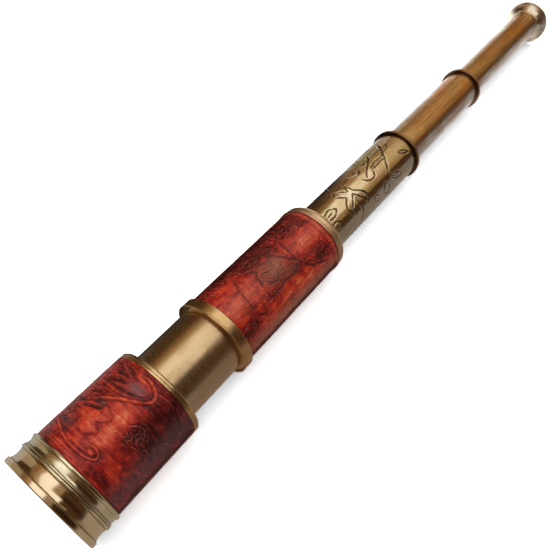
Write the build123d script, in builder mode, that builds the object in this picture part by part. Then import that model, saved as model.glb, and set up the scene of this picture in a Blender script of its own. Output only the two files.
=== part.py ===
from build123d import *
import os

# Four-draw brass hand telescope with two embossed leather covers.
# Millimetres. The optical axis is X: the objective's front rim lies in the
# plane x = 0 and the eyepiece is at the +X end. The drawn-out state is modelled.

os.makedirs("parts", exist_ok=True)

# ---- driving dimensions -------------------------------------------------
FIT = 0.05            # radial clearance of each sliding tube in its bush
SEAT = 0.03           # radial gap at soldered, glued and threaded joints
STOP_GAP = 0.30       # axial gap between a stop ring and its bush, drawn out

# outer radii of the tubes and covers
R_BARREL_LEATHER = 24.0
R_BARREL_TUBE = 22.90
R_BARREL_BORE = 21.95
R_DRAW_1 = 18.55
R_DRAW_1_BORE = 17.55
R_DRAW_1_LEATHER = 20.28
R_DRAW_2 = 14.72
R_DRAW_2_BORE = 13.92
R_DRAW_3 = 12.49
R_DRAW_3_BORE = 11.79
R_DRAW_4 = 10.53
R_DRAW_4_BORE = 9.83

# stations along the axis
X_BEZEL_END = 8.2
X_FRONT_RING_END = 15.2
X_BARREL_TUBE_START = 10.4
X_BARREL_TUBE_END = 60.5
X_REAR_COLLAR_END = 63.6
X_DRAW_1_START = 50.0
X_COLLAR_1_START = 98.0
X_COLLAR_1_END = 103.7
X_DRAW_1_END = 178.1
X_REAR_RING_END = 184.4
X_DRAW_2_START = 155.8
X_DRAW_2_END = 271.2
X_COLLAR_2_END = 274.0
X_DRAW_3_START = 238.9
X_DRAW_3_END = 360.9
X_COLLAR_3_END = 364.0
X_DRAW_4_START = 346.6
X_DRAW_4_END = 471.7
X_EYECUP_END = 480.3

# front rim, recess and objective
R_RIM = 25.20
R_BEZEL_WAIST = 23.80
R_RECESS = 21.90
RECESS_DEPTH = 5.4
R_RECESS_RELIEF = 22.35
X_RECESS_FLOOR = 9.0
R_SPIGOT_BORE = 20.90
X_SPIGOT_END = 14.2
X_CELL_FACE = 5.6
R_CELL_FACE = 20.0
R_CLEAR_APERTURE = 14.64
X_LENS_SEAT = 10.6
R_OBJECTIVE_LENS = 17.5
X_CELL_END = 14.8

# bushes and stop rings
BUSH_0 = 5.2
BUSH_1 = 17.0
BUSH_2 = 24.0
BUSH_3 = 10.0
STOP_RING_1 = 5.0
STOP_RING_2 = 5.0
STOP_RING_3 = 4.0
STOP_RING_4 = 4.0
STOP_RING_3_SETBACK = 4.0

# second collar, narrow collars, eyepiece
R_COLLAR_1 = 21.80
R_REAR_RING = 20.70
R_COLLAR_2 = 16.35
R_COLLAR_3 = 14.35
R_EYECUP_NECK = 11.20
R_EYECUP_RIM = 15.85
R_EYE_HOLE = 4.0

# travels of the four draws, with the closed faces 0.3 mm apart
TRAVEL_1 = X_COLLAR_1_START - X_REAR_COLLAR_END - 0.3
TRAVEL_2 = X_DRAW_2_END - X_REAR_RING_END - 0.3
TRAVEL_3 = X_DRAW_3_END - X_COLLAR_2_END - 0.3
TRAVEL_4 = X_DRAW_4_END - X_COLLAR_3_END - 0.3
print("travels", TRAVEL_1, TRAVEL_2, TRAVEL_3, TRAVEL_4)


# ---- barrel -------------------------------------------------------------
# Front bezel: rolled rim, waisted body, cap recess with a relief groove, and a
# spigot that screws into the barrel tube.
with BuildPart() as objective_bezel:
    with BuildSketch(Plane.XZ):
        with BuildLine():
            l1 = Line((0, R_RECESS), (0, R_RIM - 0.75))
            l2 = RadiusArc(l1 @ 1, (0.75, R_RIM), 0.75)
            l3 = Line(l2 @ 1, (2.35, R_RIM))
            l4 = Line(l3 @ 1, (2.75, 24.45))
            l5 = ThreePointArc(l4 @ 1, (5.3, R_BEZEL_WAIST), (7.9, 24.25))
            l6 = Line(l5 @ 1, (X_BEZEL_END, 24.05))
            l7 = Polyline(
                l6 @ 1,
                (X_BEZEL_END, R_BARREL_TUBE + SEAT),
                (X_BARREL_TUBE_START - 0.05, R_BARREL_TUBE + SEAT),
                (X_BARREL_TUBE_START - 0.05, R_BARREL_BORE - SEAT),
                (X_SPIGOT_END, R_BARREL_BORE - SEAT),
                (X_SPIGOT_END, R_SPIGOT_BORE),
                (X_RECESS_FLOOR, R_SPIGOT_BORE),
                (X_RECESS_FLOOR, R_RECESS_RELIEF),
                (RECESS_DEPTH, R_RECESS_RELIEF),
                (RECESS_DEPTH, R_RECESS),
                l1 @ 0,
            )
        make_face()
    revolve(axis=Axis.X)

# Objective cell: flat front ring, threaded skirt, seat for the lens inside.
with BuildPart() as objective_cell:
    with BuildSketch(Plane.XZ):
        with BuildLine():
            Polyline(
                (X_CELL_FACE, R_CLEAR_APERTURE),
                (X_CELL_FACE, R_CELL_FACE),
                (X_RECESS_FLOOR, R_CELL_FACE),
                (X_RECESS_FLOOR, R_SPIGOT_BORE - SEAT),
                (X_CELL_END, R_SPIGOT_BORE - SEAT),
                (X_CELL_END, R_OBJECTIVE_LENS + 0.05),
                (X_LENS_SEAT, R_OBJECTIVE_LENS + 0.05),
                (X_LENS_SEAT, R_CLEAR_APERTURE),
                close=True,
            )
        make_face()
    revolve(axis=Axis.X)
    chamfer(
        objective_cell.edges().filter_by(GeomType.CIRCLE).group_by(Axis.X)[0],
        length=0.25,
    )

# Objective lens: plano-convex, bulging forward into the clear aperture.
with BuildPart() as objective_lens:
    with BuildSketch(Plane.XZ):
        with BuildLine():
            a1 = ThreePointArc(
                (9.55, 0), (9.71, 7.0), (10.20, R_CLEAR_APERTURE - 0.3)
            )
            Polyline(
                a1 @ 1,
                (X_LENS_SEAT + 0.02, R_CLEAR_APERTURE - 0.1),
                (X_LENS_SEAT + 0.02, R_OBJECTIVE_LENS),
                (12.95, R_OBJECTIVE_LENS),
                (12.95, 0),
                a1 @ 0,
            )
        make_face()
    revolve(axis=Axis.X)

# Threaded ring behind the objective lens, with two spanner notches.
with BuildPart() as objective_retaining_ring:
    with BuildSketch(Plane.YZ.offset(13.0)):
        Circle(R_OBJECTIVE_LENS + 0.02)
        Circle(15.4, mode=Mode.SUBTRACT)
    extrude(amount=1.7)
    with BuildSketch(Plane.YZ.offset(14.0)):
        with PolarLocations(16.4, 2):
            Rectangle(3.2, 1.4)
    extrude(amount=1.0, mode=Mode.SUBTRACT)

# Stepped ring behind the bezel: two beads in front, a hollow band, a rear bead.
with BuildPart() as barrel_front_ring:
    with BuildSketch(Plane.XZ):
        with BuildLine():
            f1 = Line((X_BEZEL_END + 0.1, R_BARREL_TUBE + 2 * SEAT),
                      (X_BEZEL_END + 0.1, 24.45))
            f2 = ThreePointArc(f1 @ 1, (8.95, 24.95), (9.60, 24.50))
            f3 = ThreePointArc(f2 @ 1, (10.05, 24.72), (10.50, 24.35))
            f4 = ThreePointArc(f3 @ 1, (11.9, 24.05), (13.30, 24.42))
            f5 = Line(f4 @ 1, (13.45, 24.30))
            f6 = Line(f5 @ 1, (13.60, 24.55))
            f7 = ThreePointArc(f6 @ 1, (14.40, 25.00), (X_FRONT_RING_END, 24.50))
            Polyline(
                f7 @ 1,
                (X_FRONT_RING_END, R_BARREL_TUBE + 2 * SEAT),
                f1 @ 0,
            )
        make_face()
    revolve(axis=Axis.X)

with BuildPart() as barrel_tube:
    with BuildSketch(Plane.YZ.offset(X_BARREL_TUBE_START)):
        Circle(R_BARREL_TUBE)
        Circle(R_BARREL_BORE, mode=Mode.SUBTRACT)
    extrude(amount=X_BARREL_TUBE_END - X_BARREL_TUBE_START)

with BuildPart() as barrel_leather:
    with BuildSketch(Plane.YZ.offset(X_FRONT_RING_END)):
        Circle(R_BARREL_LEATHER)
        Circle(R_BARREL_TUBE + SEAT, mode=Mode.SUBTRACT)
    extrude(amount=X_BARREL_TUBE_END - X_FRONT_RING_END)

# End ring of the barrel with the bush that guides the first draw.
with BuildPart() as barrel_rear_collar:
    with BuildSketch(Plane.XZ):
        with BuildLine():
            Polyline(
                (X_BARREL_TUBE_END - BUSH_0, R_DRAW_1 + FIT),
                (X_BARREL_TUBE_END - BUSH_0, R_BARREL_BORE - SEAT),
                (X_BARREL_TUBE_END, R_BARREL_BORE - SEAT),
                (X_BARREL_TUBE_END, 23.75),
                (X_BARREL_TUBE_END + 0.15, 23.90),
                (X_BARREL_TUBE_END + 1.05, 23.90),
                (X_BARREL_TUBE_END + 1.25, 23.70),
                (X_BARREL_TUBE_END + 1.45, 23.90),
                (X_REAR_COLLAR_END - 0.7, 23.90),
                (X_REAR_COLLAR_END, 23.20),
                (X_REAR_COLLAR_END, R_DRAW_1 + FIT),
                close=True,
            )
        make_face()
    revolve(axis=Axis.X)

# ---- first draw ---------------------------------------------------------
with BuildPart() as draw_1_tube:
    with BuildSketch(Plane.YZ.offset(X_DRAW_1_START)):
        Circle(R_DRAW_1)
        Circle(R_DRAW_1_BORE, mode=Mode.SUBTRACT)
    extrude(amount=X_DRAW_1_END - X_DRAW_1_START)

with BuildPart() as draw_1_stop_ring:
    with BuildSketch(Plane.YZ.offset(X_DRAW_1_START)):
        Circle(R_BARREL_BORE - FIT - 0.05)
        Circle(R_DRAW_1 + SEAT, mode=Mode.SUBTRACT)
    extrude(amount=STOP_RING_1)
    chamfer(
        draw_1_stop_ring.edges().filter_by(GeomType.CIRCLE).sort_by(SortBy.RADIUS)[-2:],
        length=0.4,
    )

# Wide polished collar: rolled front lip, hollow front face, tapered band.
with BuildPart() as draw_1_collar:
    with BuildSketch(Plane.XZ):
        with BuildLine():
            c1 = Line((X_COLLAR_1_START + 1.0, R_DRAW_1 + SEAT),
                      (X_COLLAR_1_START + 1.0, R_COLLAR_1 - 0.95))
            c2 = Line(c1 @ 1, (X_COLLAR_1_START + 0.25, R_COLLAR_1 - 0.75))
            c3 = ThreePointArc(c2 @ 1, (X_COLLAR_1_START, R_COLLAR_1 - 0.35),
                               (X_COLLAR_1_START + 0.4, R_COLLAR_1))
            c4 = Line(c3 @ 1, (X_COLLAR_1_START + 0.75, R_COLLAR_1 - 0.05))
            c5 = Line(c4 @ 1, (X_COLLAR_1_START + 0.9, R_COLLAR_1 - 0.15))
            c6 = Line(c5 @ 1, (X_COLLAR_1_END - 0.35, R_COLLAR_1 - 0.10))
            c7 = Line(c6 @ 1, (X_COLLAR_1_END, R_COLLAR_1 - 0.40))
            Polyline(
                c7 @ 1,
                (X_COLLAR_1_END, R_DRAW_1 + SEAT),
                c1 @ 0,
            )
        make_face()
    revolve(axis=Axis.X)

with BuildPart() as draw_1_leather:
    with BuildSketch(Plane.YZ.offset(X_COLLAR_1_END)):
        Circle(R_DRAW_1_LEATHER)
        Circle(R_DRAW_1 + SEAT, mode=Mode.SUBTRACT)
    extrude(amount=X_DRAW_1_END - X_COLLAR_1_END)

# End ring of the first draw with the bush of the second.
with BuildPart() as draw_1_rear_ring:
    with BuildSketch(Plane.XZ):
        with BuildLine():
            r1 = Polyline(
                (X_DRAW_1_END - BUSH_1, R_DRAW_2 + FIT),
                (X_DRAW_1_END - BUSH_1, R_DRAW_1_BORE - SEAT),
                (X_DRAW_1_END, R_DRAW_1_BORE - SEAT),
                (X_DRAW_1_END, R_REAR_RING - 0.15),
            )
            r2 = ThreePointArc(r1 @ 1, (X_DRAW_1_END + 0.6, R_REAR_RING),
                               (X_DRAW_1_END + 1.2, R_REAR_RING - 0.15))
            r3 = Line(r2 @ 1, (X_DRAW_1_END + 1.35, R_REAR_RING - 0.40))
            r4 = Line(r3 @ 1, (X_DRAW_1_END + 3.6, R_REAR_RING - 0.45))
            r5 = ThreePointArc(r4 @ 1, (X_REAR_RING_END - 1.0, R_REAR_RING - 1.0),
                               (X_REAR_RING_END, 18.50))
            Polyline(r5 @ 1, (X_REAR_RING_END, R_DRAW_2 + FIT), r1 @ 0)
        make_face()
    revolve(axis=Axis.X)

# ---- second draw --------------------------------------------------------
with BuildPart() as draw_2_tube:
    with BuildSketch(Plane.YZ.offset(X_DRAW_2_START)):
        Circle(R_DRAW_2)
        Circle(R_DRAW_2_BORE, mode=Mode.SUBTRACT)
    extrude(amount=X_DRAW_2_END - X_DRAW_2_START)

with BuildPart() as draw_2_stop_ring:
    with BuildSketch(Plane.YZ.offset(X_DRAW_2_START)):
        Circle(R_DRAW_1_BORE - FIT)
        Circle(R_DRAW_2 + SEAT, mode=Mode.SUBTRACT)
    extrude(amount=STOP_RING_2)
    chamfer(
        draw_2_stop_ring.edges().filter_by(GeomType.CIRCLE).sort_by(SortBy.RADIUS)[-2:],
        length=0.4,
    )

# Narrow collar with the long bush of the third draw.
with BuildPart() as draw_2_collar:
    with BuildSketch(Plane.XZ):
        with BuildLine():
            k1 = Polyline(
                (X_DRAW_2_END - BUSH_2, R_DRAW_3 + FIT),
                (X_DRAW_2_END - BUSH_2, R_DRAW_2_BORE - SEAT),
                (X_DRAW_2_END, R_DRAW_2_BORE - SEAT),
                (X_DRAW_2_END, R_COLLAR_2 - 0.25),
            )
            k2 = RadiusArc(k1 @ 1, (X_DRAW_2_END + 0.25, R_COLLAR_2), 0.25)
            k3 = Line(k2 @ 1, (X_DRAW_2_END + 1.55, R_COLLAR_2 - 0.05))
            k4 = Line(k3 @ 1, (X_DRAW_2_END + 1.70, R_COLLAR_2 - 0.30))
            k5 = Line(k4 @ 1, (X_DRAW_2_END + 1.85, R_COLLAR_2 - 0.18))
            k6 = ThreePointArc(k5 @ 1, (X_COLLAR_2_END - 0.35, R_COLLAR_2 - 0.25),
                               (X_COLLAR_2_END, R_COLLAR_2 - 0.75))
            Polyline(k6 @ 1, (X_COLLAR_2_END, R_DRAW_3 + FIT), k1 @ 0)
        make_face()
    revolve(axis=Axis.X)

# ---- third draw ---------------------------------------------------------
with BuildPart() as draw_3_tube:
    with BuildSketch(Plane.YZ.offset(X_DRAW_3_START)):
        Circle(R_DRAW_3)
        Circle(R_DRAW_3_BORE, mode=Mode.SUBTRACT)
    extrude(amount=X_DRAW_3_END - X_DRAW_3_START)

with BuildPart() as draw_3_stop_ring:
    with BuildSketch(Plane.YZ.offset(X_DRAW_3_START + STOP_RING_3_SETBACK)):
        Circle(R_DRAW_2_BORE - FIT)
        Circle(R_DRAW_3 + SEAT, mode=Mode.SUBTRACT)
    extrude(amount=STOP_RING_3)
    chamfer(
        draw_3_stop_ring.edges().filter_by(GeomType.CIRCLE).sort_by(SortBy.RADIUS)[-2:],
        length=0.3,
    )

# Narrow collar with the bush of the fourth draw.
with BuildPart() as draw_3_collar:
    with BuildSketch(Plane.XZ):
        with BuildLine():
            m1 = Polyline(
                (X_DRAW_3_END - BUSH_3, R_DRAW_4 + FIT),
                (X_DRAW_3_END - BUSH_3, R_DRAW_3_BORE - SEAT),
                (X_DRAW_3_END, R_DRAW_3_BORE - SEAT),
                (X_DRAW_3_END, R_COLLAR_3 - 0.25),
            )
            m2 = RadiusArc(m1 @ 1, (X_DRAW_3_END + 0.25, R_COLLAR_3), 0.25)
            m3 = Line(m2 @ 1, (X_DRAW_3_END + 1.65, R_COLLAR_3 - 0.05))
            m4 = Line(m3 @ 1, (X_DRAW_3_END + 1.80, R_COLLAR_3 - 0.30))
            m5 = Line(m4 @ 1, (X_DRAW_3_END + 1.95, R_COLLAR_3 - 0.18))
            m6 = ThreePointArc(m5 @ 1, (X_COLLAR_3_END - 0.35, R_COLLAR_3 - 0.25),
                               (X_COLLAR_3_END, R_COLLAR_3 - 0.80))
            Polyline(m6 @ 1, (X_COLLAR_3_END, R_DRAW_4 + FIT), m1 @ 0)
        make_face()
    revolve(axis=Axis.X)

# ---- fourth (eyepiece) draw ---------------------------------------------
with BuildPart() as draw_4_tube:
    with BuildSketch(Plane.YZ.offset(X_DRAW_4_START)):
        Circle(R_DRAW_4)
        Circle(R_DRAW_4_BORE, mode=Mode.SUBTRACT)
    extrude(amount=X_DRAW_4_END - X_DRAW_4_START)

with BuildPart() as draw_4_stop_ring:
    with BuildSketch(Plane.YZ.offset(X_DRAW_4_START)):
        Circle(R_DRAW_3_BORE - FIT)
        Circle(R_DRAW_4 + SEAT, mode=Mode.SUBTRACT)
    extrude(amount=STOP_RING_4)
    chamfer(
        draw_4_stop_ring.edges().filter_by(GeomType.CIRCLE).sort_by(SortBy.RADIUS)[-2:],
        length=0.3,
    )

# Erector cartridge: a sleeve with a lens seat near each end and a waist stop.
X_ERECTOR = X_DRAW_4_START + 3.0
ERECTOR_LENGTH = 32.0
R_ERECTOR_LENS = 7.8
with BuildPart() as erector_cell:
    with BuildSketch(Plane.YZ.offset(X_ERECTOR)):
        Circle(R_DRAW_4_BORE - SEAT)
        Circle(R_ERECTOR_LENS + 0.05, mode=Mode.SUBTRACT)
    extrude(amount=ERECTOR_LENGTH)
    with BuildSketch(Plane.YZ.offset(X_ERECTOR + 4.2)):
        Circle(R_DRAW_4_BORE - SEAT)
        Circle(6.2, mode=Mode.SUBTRACT)
    extrude(amount=ERECTOR_LENGTH - 8.4)

with BuildPart() as erector_lens_front:
    with BuildSketch(Plane.XZ):
        with BuildLine():
            e1 = ThreePointArc((X_ERECTOR + 1.3, 0), (X_ERECTOR + 1.5, 4.2),
                               (X_ERECTOR + 2.1, R_ERECTOR_LENS))
            Polyline(e1 @ 1, (X_ERECTOR + 4.15, R_ERECTOR_LENS),
                     (X_ERECTOR + 4.15, 0), e1 @ 0)
        make_face()
    revolve(axis=Axis.X)

X_ERECTOR_REAR = X_ERECTOR + ERECTOR_LENGTH
with BuildPart() as erector_lens_rear:
    with BuildSketch(Plane.XZ):
        with BuildLine():
            e2 = ThreePointArc((X_ERECTOR_REAR - 1.3, 0), (X_ERECTOR_REAR - 1.5, 4.2),
                               (X_ERECTOR_REAR - 2.1, R_ERECTOR_LENS))
            Polyline(e2 @ 1, (X_ERECTOR_REAR - 4.15, R_ERECTOR_LENS),
                     (X_ERECTOR_REAR - 4.15, 0), e2 @ 0)
        make_face()
    revolve(axis=Axis.X)

with BuildPart() as erector_retaining_rings:
    with BuildSketch(Plane.YZ.offset(X_ERECTOR)):
        Circle(R_ERECTOR_LENS + 0.02)
        Circle(6.6, mode=Mode.SUBTRACT)
    extrude(amount=1.2)
    with BuildSketch(Plane.YZ.offset(X_ERECTOR_REAR - 1.2)):
        Circle(R_ERECTOR_LENS + 0.02)
        Circle(6.6, mode=Mode.SUBTRACT)
    extrude(amount=1.2)

# Field lens in its own sleeve, and the stop at the image plane behind it.
X_FIELD = 428.0
with BuildPart() as field_lens_cell:
    with BuildSketch(Plane.YZ.offset(X_FIELD)):
        Circle(R_DRAW_4_BORE - SEAT)
        Circle(8.85, mode=Mode.SUBTRACT)
    extrude(amount=8.0)
    with BuildSketch(Plane.YZ.offset(X_FIELD + 6.6)):
        Circle(R_DRAW_4_BORE - SEAT)
        Circle(7.9, mode=Mode.SUBTRACT)
    extrude(amount=1.4)

with BuildPart() as field_lens:
    with BuildSketch(Plane.XZ):
        with BuildLine():
            g1 = ThreePointArc((X_FIELD + 2.6, 0), (X_FIELD + 2.85, 4.6),
                               (X_FIELD + 3.6, 8.8))
            Polyline(g1 @ 1, (X_FIELD + 6.55, 8.8), (X_FIELD + 6.55, 0), g1 @ 0)
        make_face()
    revolve(axis=Axis.X)

with BuildPart() as field_stop:
    with BuildSketch(Plane.YZ.offset(X_FIELD + 16.0)):
        Circle(R_DRAW_4_BORE - SEAT)
        Circle(6.0, mode=Mode.SUBTRACT)
    extrude(amount=1.0)

# Flared eyecup: threaded spigot, bore for the eye lens, eye hole, open dish.
X_SPIGOT = X_DRAW_4_END - 10.0
X_WEB = X_DRAW_4_END - 1.0
R_EYE_BORE = 8.2
with BuildPart() as eyecup:
    with BuildSketch(Plane.XZ):
        with BuildLine():
            y1 = Polyline(
                (X_WEB, R_EYE_HOLE),
                (X_WEB, R_EYE_BORE),
                (X_SPIGOT, R_EYE_BORE),
                (X_SPIGOT, R_DRAW_4_BORE - SEAT),
                (X_DRAW_4_END, R_DRAW_4_BORE - SEAT),
                (X_DRAW_4_END, R_EYECUP_NECK - 0.15),
                (X_DRAW_4_END + 0.15, R_EYECUP_NECK),
                (X_DRAW_4_END + 1.1, R_EYECUP_NECK),
            )
            y2 = ThreePointArc(y1 @ 1, (475.9, 12.45), (478.3, R_EYECUP_RIM - 0.25))
            y3 = ThreePointArc(y2 @ 1, (479.25, R_EYECUP_RIM), (X_EYECUP_END, 15.1))
            y4 = ThreePointArc(y3 @ 1, (480.0, 14.45), (479.2, 14.15))
            y5 = ThreePointArc(y4 @ 1, (475.2, 9.6), (X_DRAW_4_END + 0.9, R_EYE_HOLE + 0.35))
            Line(y5 @ 1, y1 @ 0)
        make_face()
    revolve(axis=Axis.X)

with BuildPart() as eye_lens:
    with BuildSketch(Plane.XZ):
        with BuildLine():
            h1 = ThreePointArc((X_WEB - 4.6, 0), (X_WEB - 4.3, 4.3),
                               (X_WEB - 3.3, R_EYE_BORE - 0.05))
            Polyline(h1 @ 1, (X_WEB - 0.05, R_EYE_BORE - 0.05), (X_WEB - 0.05, 0), h1 @ 0)
        make_face()
    revolve(axis=Axis.X)

with BuildPart() as eye_lens_retaining_ring:
    with BuildSketch(Plane.YZ.offset(X_WEB - 5.0)):
        Circle(R_EYE_BORE - 0.03)
        Circle(7.2, mode=Mode.SUBTRACT)
    extrude(amount=1.2)

# ---- labels and files ---------------------------------------------------
objective_bezel.part.label = "objective_bezel"
objective_cell.part.label = "objective_cell"
objective_lens.part.label = "objective_lens"
objective_retaining_ring.part.label = "objective_retaining_ring"
barrel_front_ring.part.label = "barrel_front_ring"
barrel_tube.part.label = "barrel_tube"
barrel_leather.part.label = "barrel_leather"
barrel_rear_collar.part.label = "barrel_rear_collar"
draw_1_tube.part.label = "draw_1_tube"
draw_1_stop_ring.part.label = "draw_1_stop_ring"
draw_1_collar.part.label = "draw_1_collar"
draw_1_leather.part.label = "draw_1_leather"
draw_1_rear_ring.part.label = "draw_1_rear_ring"
draw_2_tube.part.label = "draw_2_tube"
draw_2_stop_ring.part.label = "draw_2_stop_ring"
draw_2_collar.part.label = "draw_2_collar"
draw_3_tube.part.label = "draw_3_tube"
draw_3_stop_ring.part.label = "draw_3_stop_ring"
draw_3_collar.part.label = "draw_3_collar"
draw_4_tube.part.label = "draw_4_tube"
draw_4_stop_ring.part.label = "draw_4_stop_ring"
erector_cell.part.label = "erector_cell"
erector_lens_front.part.label = "erector_lens_front"
erector_lens_rear.part.label = "erector_lens_rear"
erector_retaining_rings.part.label = "erector_retaining_rings"
field_lens_cell.part.label = "field_lens_cell"
field_lens.part.label = "field_lens"
field_stop.part.label = "field_stop"
eyecup.part.label = "eyecup"
eye_lens.part.label = "eye_lens"
eye_lens_retaining_ring.part.label = "eye_lens_retaining_ring"

export_step(objective_bezel.part, "parts/objective_bezel.step")
export_step(objective_cell.part, "parts/objective_cell.step")
export_step(objective_lens.part, "parts/objective_lens.step")
export_step(objective_retaining_ring.part, "parts/objective_retaining_ring.step")
export_step(barrel_front_ring.part, "parts/barrel_front_ring.step")
export_step(barrel_tube.part, "parts/barrel_tube.step")
export_step(barrel_leather.part, "parts/barrel_leather.step")
export_step(barrel_rear_collar.part, "parts/barrel_rear_collar.step")
export_step(draw_1_tube.part, "parts/draw_1_tube.step")
export_step(draw_1_stop_ring.part, "parts/draw_1_stop_ring.step")
export_step(draw_1_collar.part, "parts/draw_1_collar.step")
export_step(draw_1_leather.part, "parts/draw_1_leather.step")
export_step(draw_1_rear_ring.part, "parts/draw_1_rear_ring.step")
export_step(draw_2_tube.part, "parts/draw_2_tube.step")
export_step(draw_2_stop_ring.part, "parts/draw_2_stop_ring.step")
export_step(draw_2_collar.part, "parts/draw_2_collar.step")
export_step(draw_3_tube.part, "parts/draw_3_tube.step")
export_step(draw_3_stop_ring.part, "parts/draw_3_stop_ring.step")
export_step(draw_3_collar.part, "parts/draw_3_collar.step")
export_step(draw_4_tube.part, "parts/draw_4_tube.step")
export_step(draw_4_stop_ring.part, "parts/draw_4_stop_ring.step")
export_step(erector_cell.part, "parts/erector_cell.step")
export_step(erector_lens_front.part, "parts/erector_lens_front.step")
export_step(erector_lens_rear.part, "parts/erector_lens_rear.step")
export_step(erector_retaining_rings.part, "parts/erector_retaining_rings.step")
export_step(field_lens_cell.part, "parts/field_lens_cell.step")
export_step(field_lens.part, "parts/field_lens.step")
export_step(field_stop.part, "parts/field_stop.step")
export_step(eyecup.part, "parts/eyecup.step")
export_step(eye_lens.part, "parts/eye_lens.step")
export_step(eye_lens_retaining_ring.part, "parts/eye_lens_retaining_ring.step")
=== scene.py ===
import math

import bpy
import numpy as np
from mathutils import Matrix, Vector


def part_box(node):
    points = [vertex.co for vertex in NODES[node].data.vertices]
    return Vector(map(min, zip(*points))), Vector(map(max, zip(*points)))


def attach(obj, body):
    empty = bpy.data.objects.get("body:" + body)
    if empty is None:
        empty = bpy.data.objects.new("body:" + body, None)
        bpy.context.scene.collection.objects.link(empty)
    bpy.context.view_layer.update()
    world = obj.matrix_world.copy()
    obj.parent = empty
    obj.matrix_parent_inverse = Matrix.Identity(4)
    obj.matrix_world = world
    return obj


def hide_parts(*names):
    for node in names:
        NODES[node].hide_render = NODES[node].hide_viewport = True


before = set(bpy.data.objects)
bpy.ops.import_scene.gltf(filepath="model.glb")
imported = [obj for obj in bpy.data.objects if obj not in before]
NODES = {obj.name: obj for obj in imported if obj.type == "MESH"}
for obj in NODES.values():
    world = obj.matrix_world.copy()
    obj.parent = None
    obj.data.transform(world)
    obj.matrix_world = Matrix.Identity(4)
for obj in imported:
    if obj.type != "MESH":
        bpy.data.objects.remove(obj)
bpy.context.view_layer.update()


MM = 0.001


def span(node):
    """x0, x1 and outer radius of a CAD node, in mm."""
    lo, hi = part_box(node)
    return lo.x / MM, hi.x / MM, hi.z / MM


# =====================================================================
# camera, floor and light
# =====================================================================
scene = bpy.context.scene
scene.view_settings.view_transform = "Standard"
scene.view_settings.look = "None"
scene.view_settings.exposure = 0.0
scene.view_settings.gamma = 1.0
scene.cycles.use_denoising = True
scene.cycles.max_bounces = 12
scene.cycles.glossy_bounces = 6
scene.cycles.transmission_bounces = 10
scene.cycles.caustics_reflective = False
scene.cycles.caustics_refractive = False

cam_data = bpy.data.cameras.new("camera")
cam_data.sensor_width = 36.0
cam_data.lens = 36.94
cam_data.clip_start = 0.01
cam_data.clip_end = 30.0
camera = bpy.data.objects.new("camera", cam_data)
scene.collection.objects.link(camera)
forward = Vector((0.483252, 0.378817, -0.789282))
right = Vector((0.616934, -0.787015, 0.0))
up = Vector((0.621177, 0.486934, 0.614031))
camera.matrix_world = Matrix((
    (right.x, up.x, -forward.x, 0.0040876),
    (right.y, up.y, -forward.y, -0.1129587),
    (right.z, up.z, -forward.z, 0.2360525),
    (0, 0, 0, 1)))
scene.camera = camera

# The telescope lies on its front bead and its eyecup, so the floor leans a little.
_, _, R_BEAD = span("barrel_front_ring")
EYE_X0, EYE_X1, R_EYECUP = span("eyecup")
X_BEAD, X_RIM = 14.4, EYE_X1 - 1.05
SLOPE = (R_BEAD - R_EYECUP) / (X_RIM - X_BEAD)


def floor_z(x_mm):
    return -R_BEAD + SLOPE * (x_mm - X_BEAD)


def node_tree(name):
    mat = bpy.data.materials.new(name)
    mat.use_nodes = True
    nt = mat.node_tree
    nt.nodes.clear()
    return mat, nt


class Net:
    """Short hand for building node trees."""

    def __init__(self, nt):
        self.nt = nt

    def add(self, kind, _ins=None, **attrs):
        n = self.nt.nodes.new(kind)
        for k, v in attrs.items():
            setattr(n, k, v)
        for k, v in (_ins or {}).items():
            self.put(n.inputs[k], v)
        return n

    def put(self, socket, v):
        if hasattr(v, "links"):
            self.nt.links.new(v, socket)
        else:
            socket.default_value = v

    def math(self, op, a, b=0.0, c=0.0, clamp=False):
        n = self.nt.nodes.new("ShaderNodeMath")
        n.operation = op
        n.use_clamp = clamp
        for i, v in enumerate((a, b, c)):
            self.put(n.inputs[i], v)
        return n.outputs[0]

    def mix(self, fac, a, b, blend="MIX"):
        n = self.nt.nodes.new("ShaderNodeMix")
        n.data_type = "RGBA"
        n.blend_type = blend
        n.clamp_factor = True
        self.put(n.inputs[0], fac)
        for s, v in ((n.inputs[6], a), (n.inputs[7], b)):
            self.put(s, v if hasattr(v, "links") else (v[0], v[1], v[2], 1.0))
        return n.outputs[2]

    def ramp(self, fac, lo, hi, a=0.0, b=1.0, smooth=True):
        n = self.nt.nodes.new("ShaderNodeMapRange")
        n.interpolation_type = "SMOOTHSTEP" if smooth else "LINEAR"
        n.clamp = True
        self.put(n.inputs[0], fac)
        for i, v in enumerate((lo, hi, a, b)):
            self.put(n.inputs[1 + i], v)
        return n.outputs[0]

    def noise(self, vec, scale, detail=3.0, rough=0.55, distort=0.0):
        n = self.add("ShaderNodeTexNoise")
        self.put(n.inputs["Vector"], vec)
        n.inputs["Scale"].default_value = scale
        n.inputs["Detail"].default_value = detail
        n.inputs["Roughness"].default_value = rough
        n.inputs["Distortion"].default_value = distort
        return n.outputs["Fac"]

    def attr(self, name):
        n = self.add("ShaderNodeAttribute")
        n.attribute_type = "GEOMETRY"
        n.attribute_name = name
        return n

    def coords(self):
        return self.add("ShaderNodeTexCoord").outputs["Object"]

    def scaled(self, vec, s, rot=(0, 0, 0)):
        n = self.add("ShaderNodeMapping")
        self.put(n.inputs["Vector"], vec)
        n.inputs["Scale"].default_value = s
        n.inputs["Rotation"].default_value = rot
        return n.outputs[0]


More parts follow.
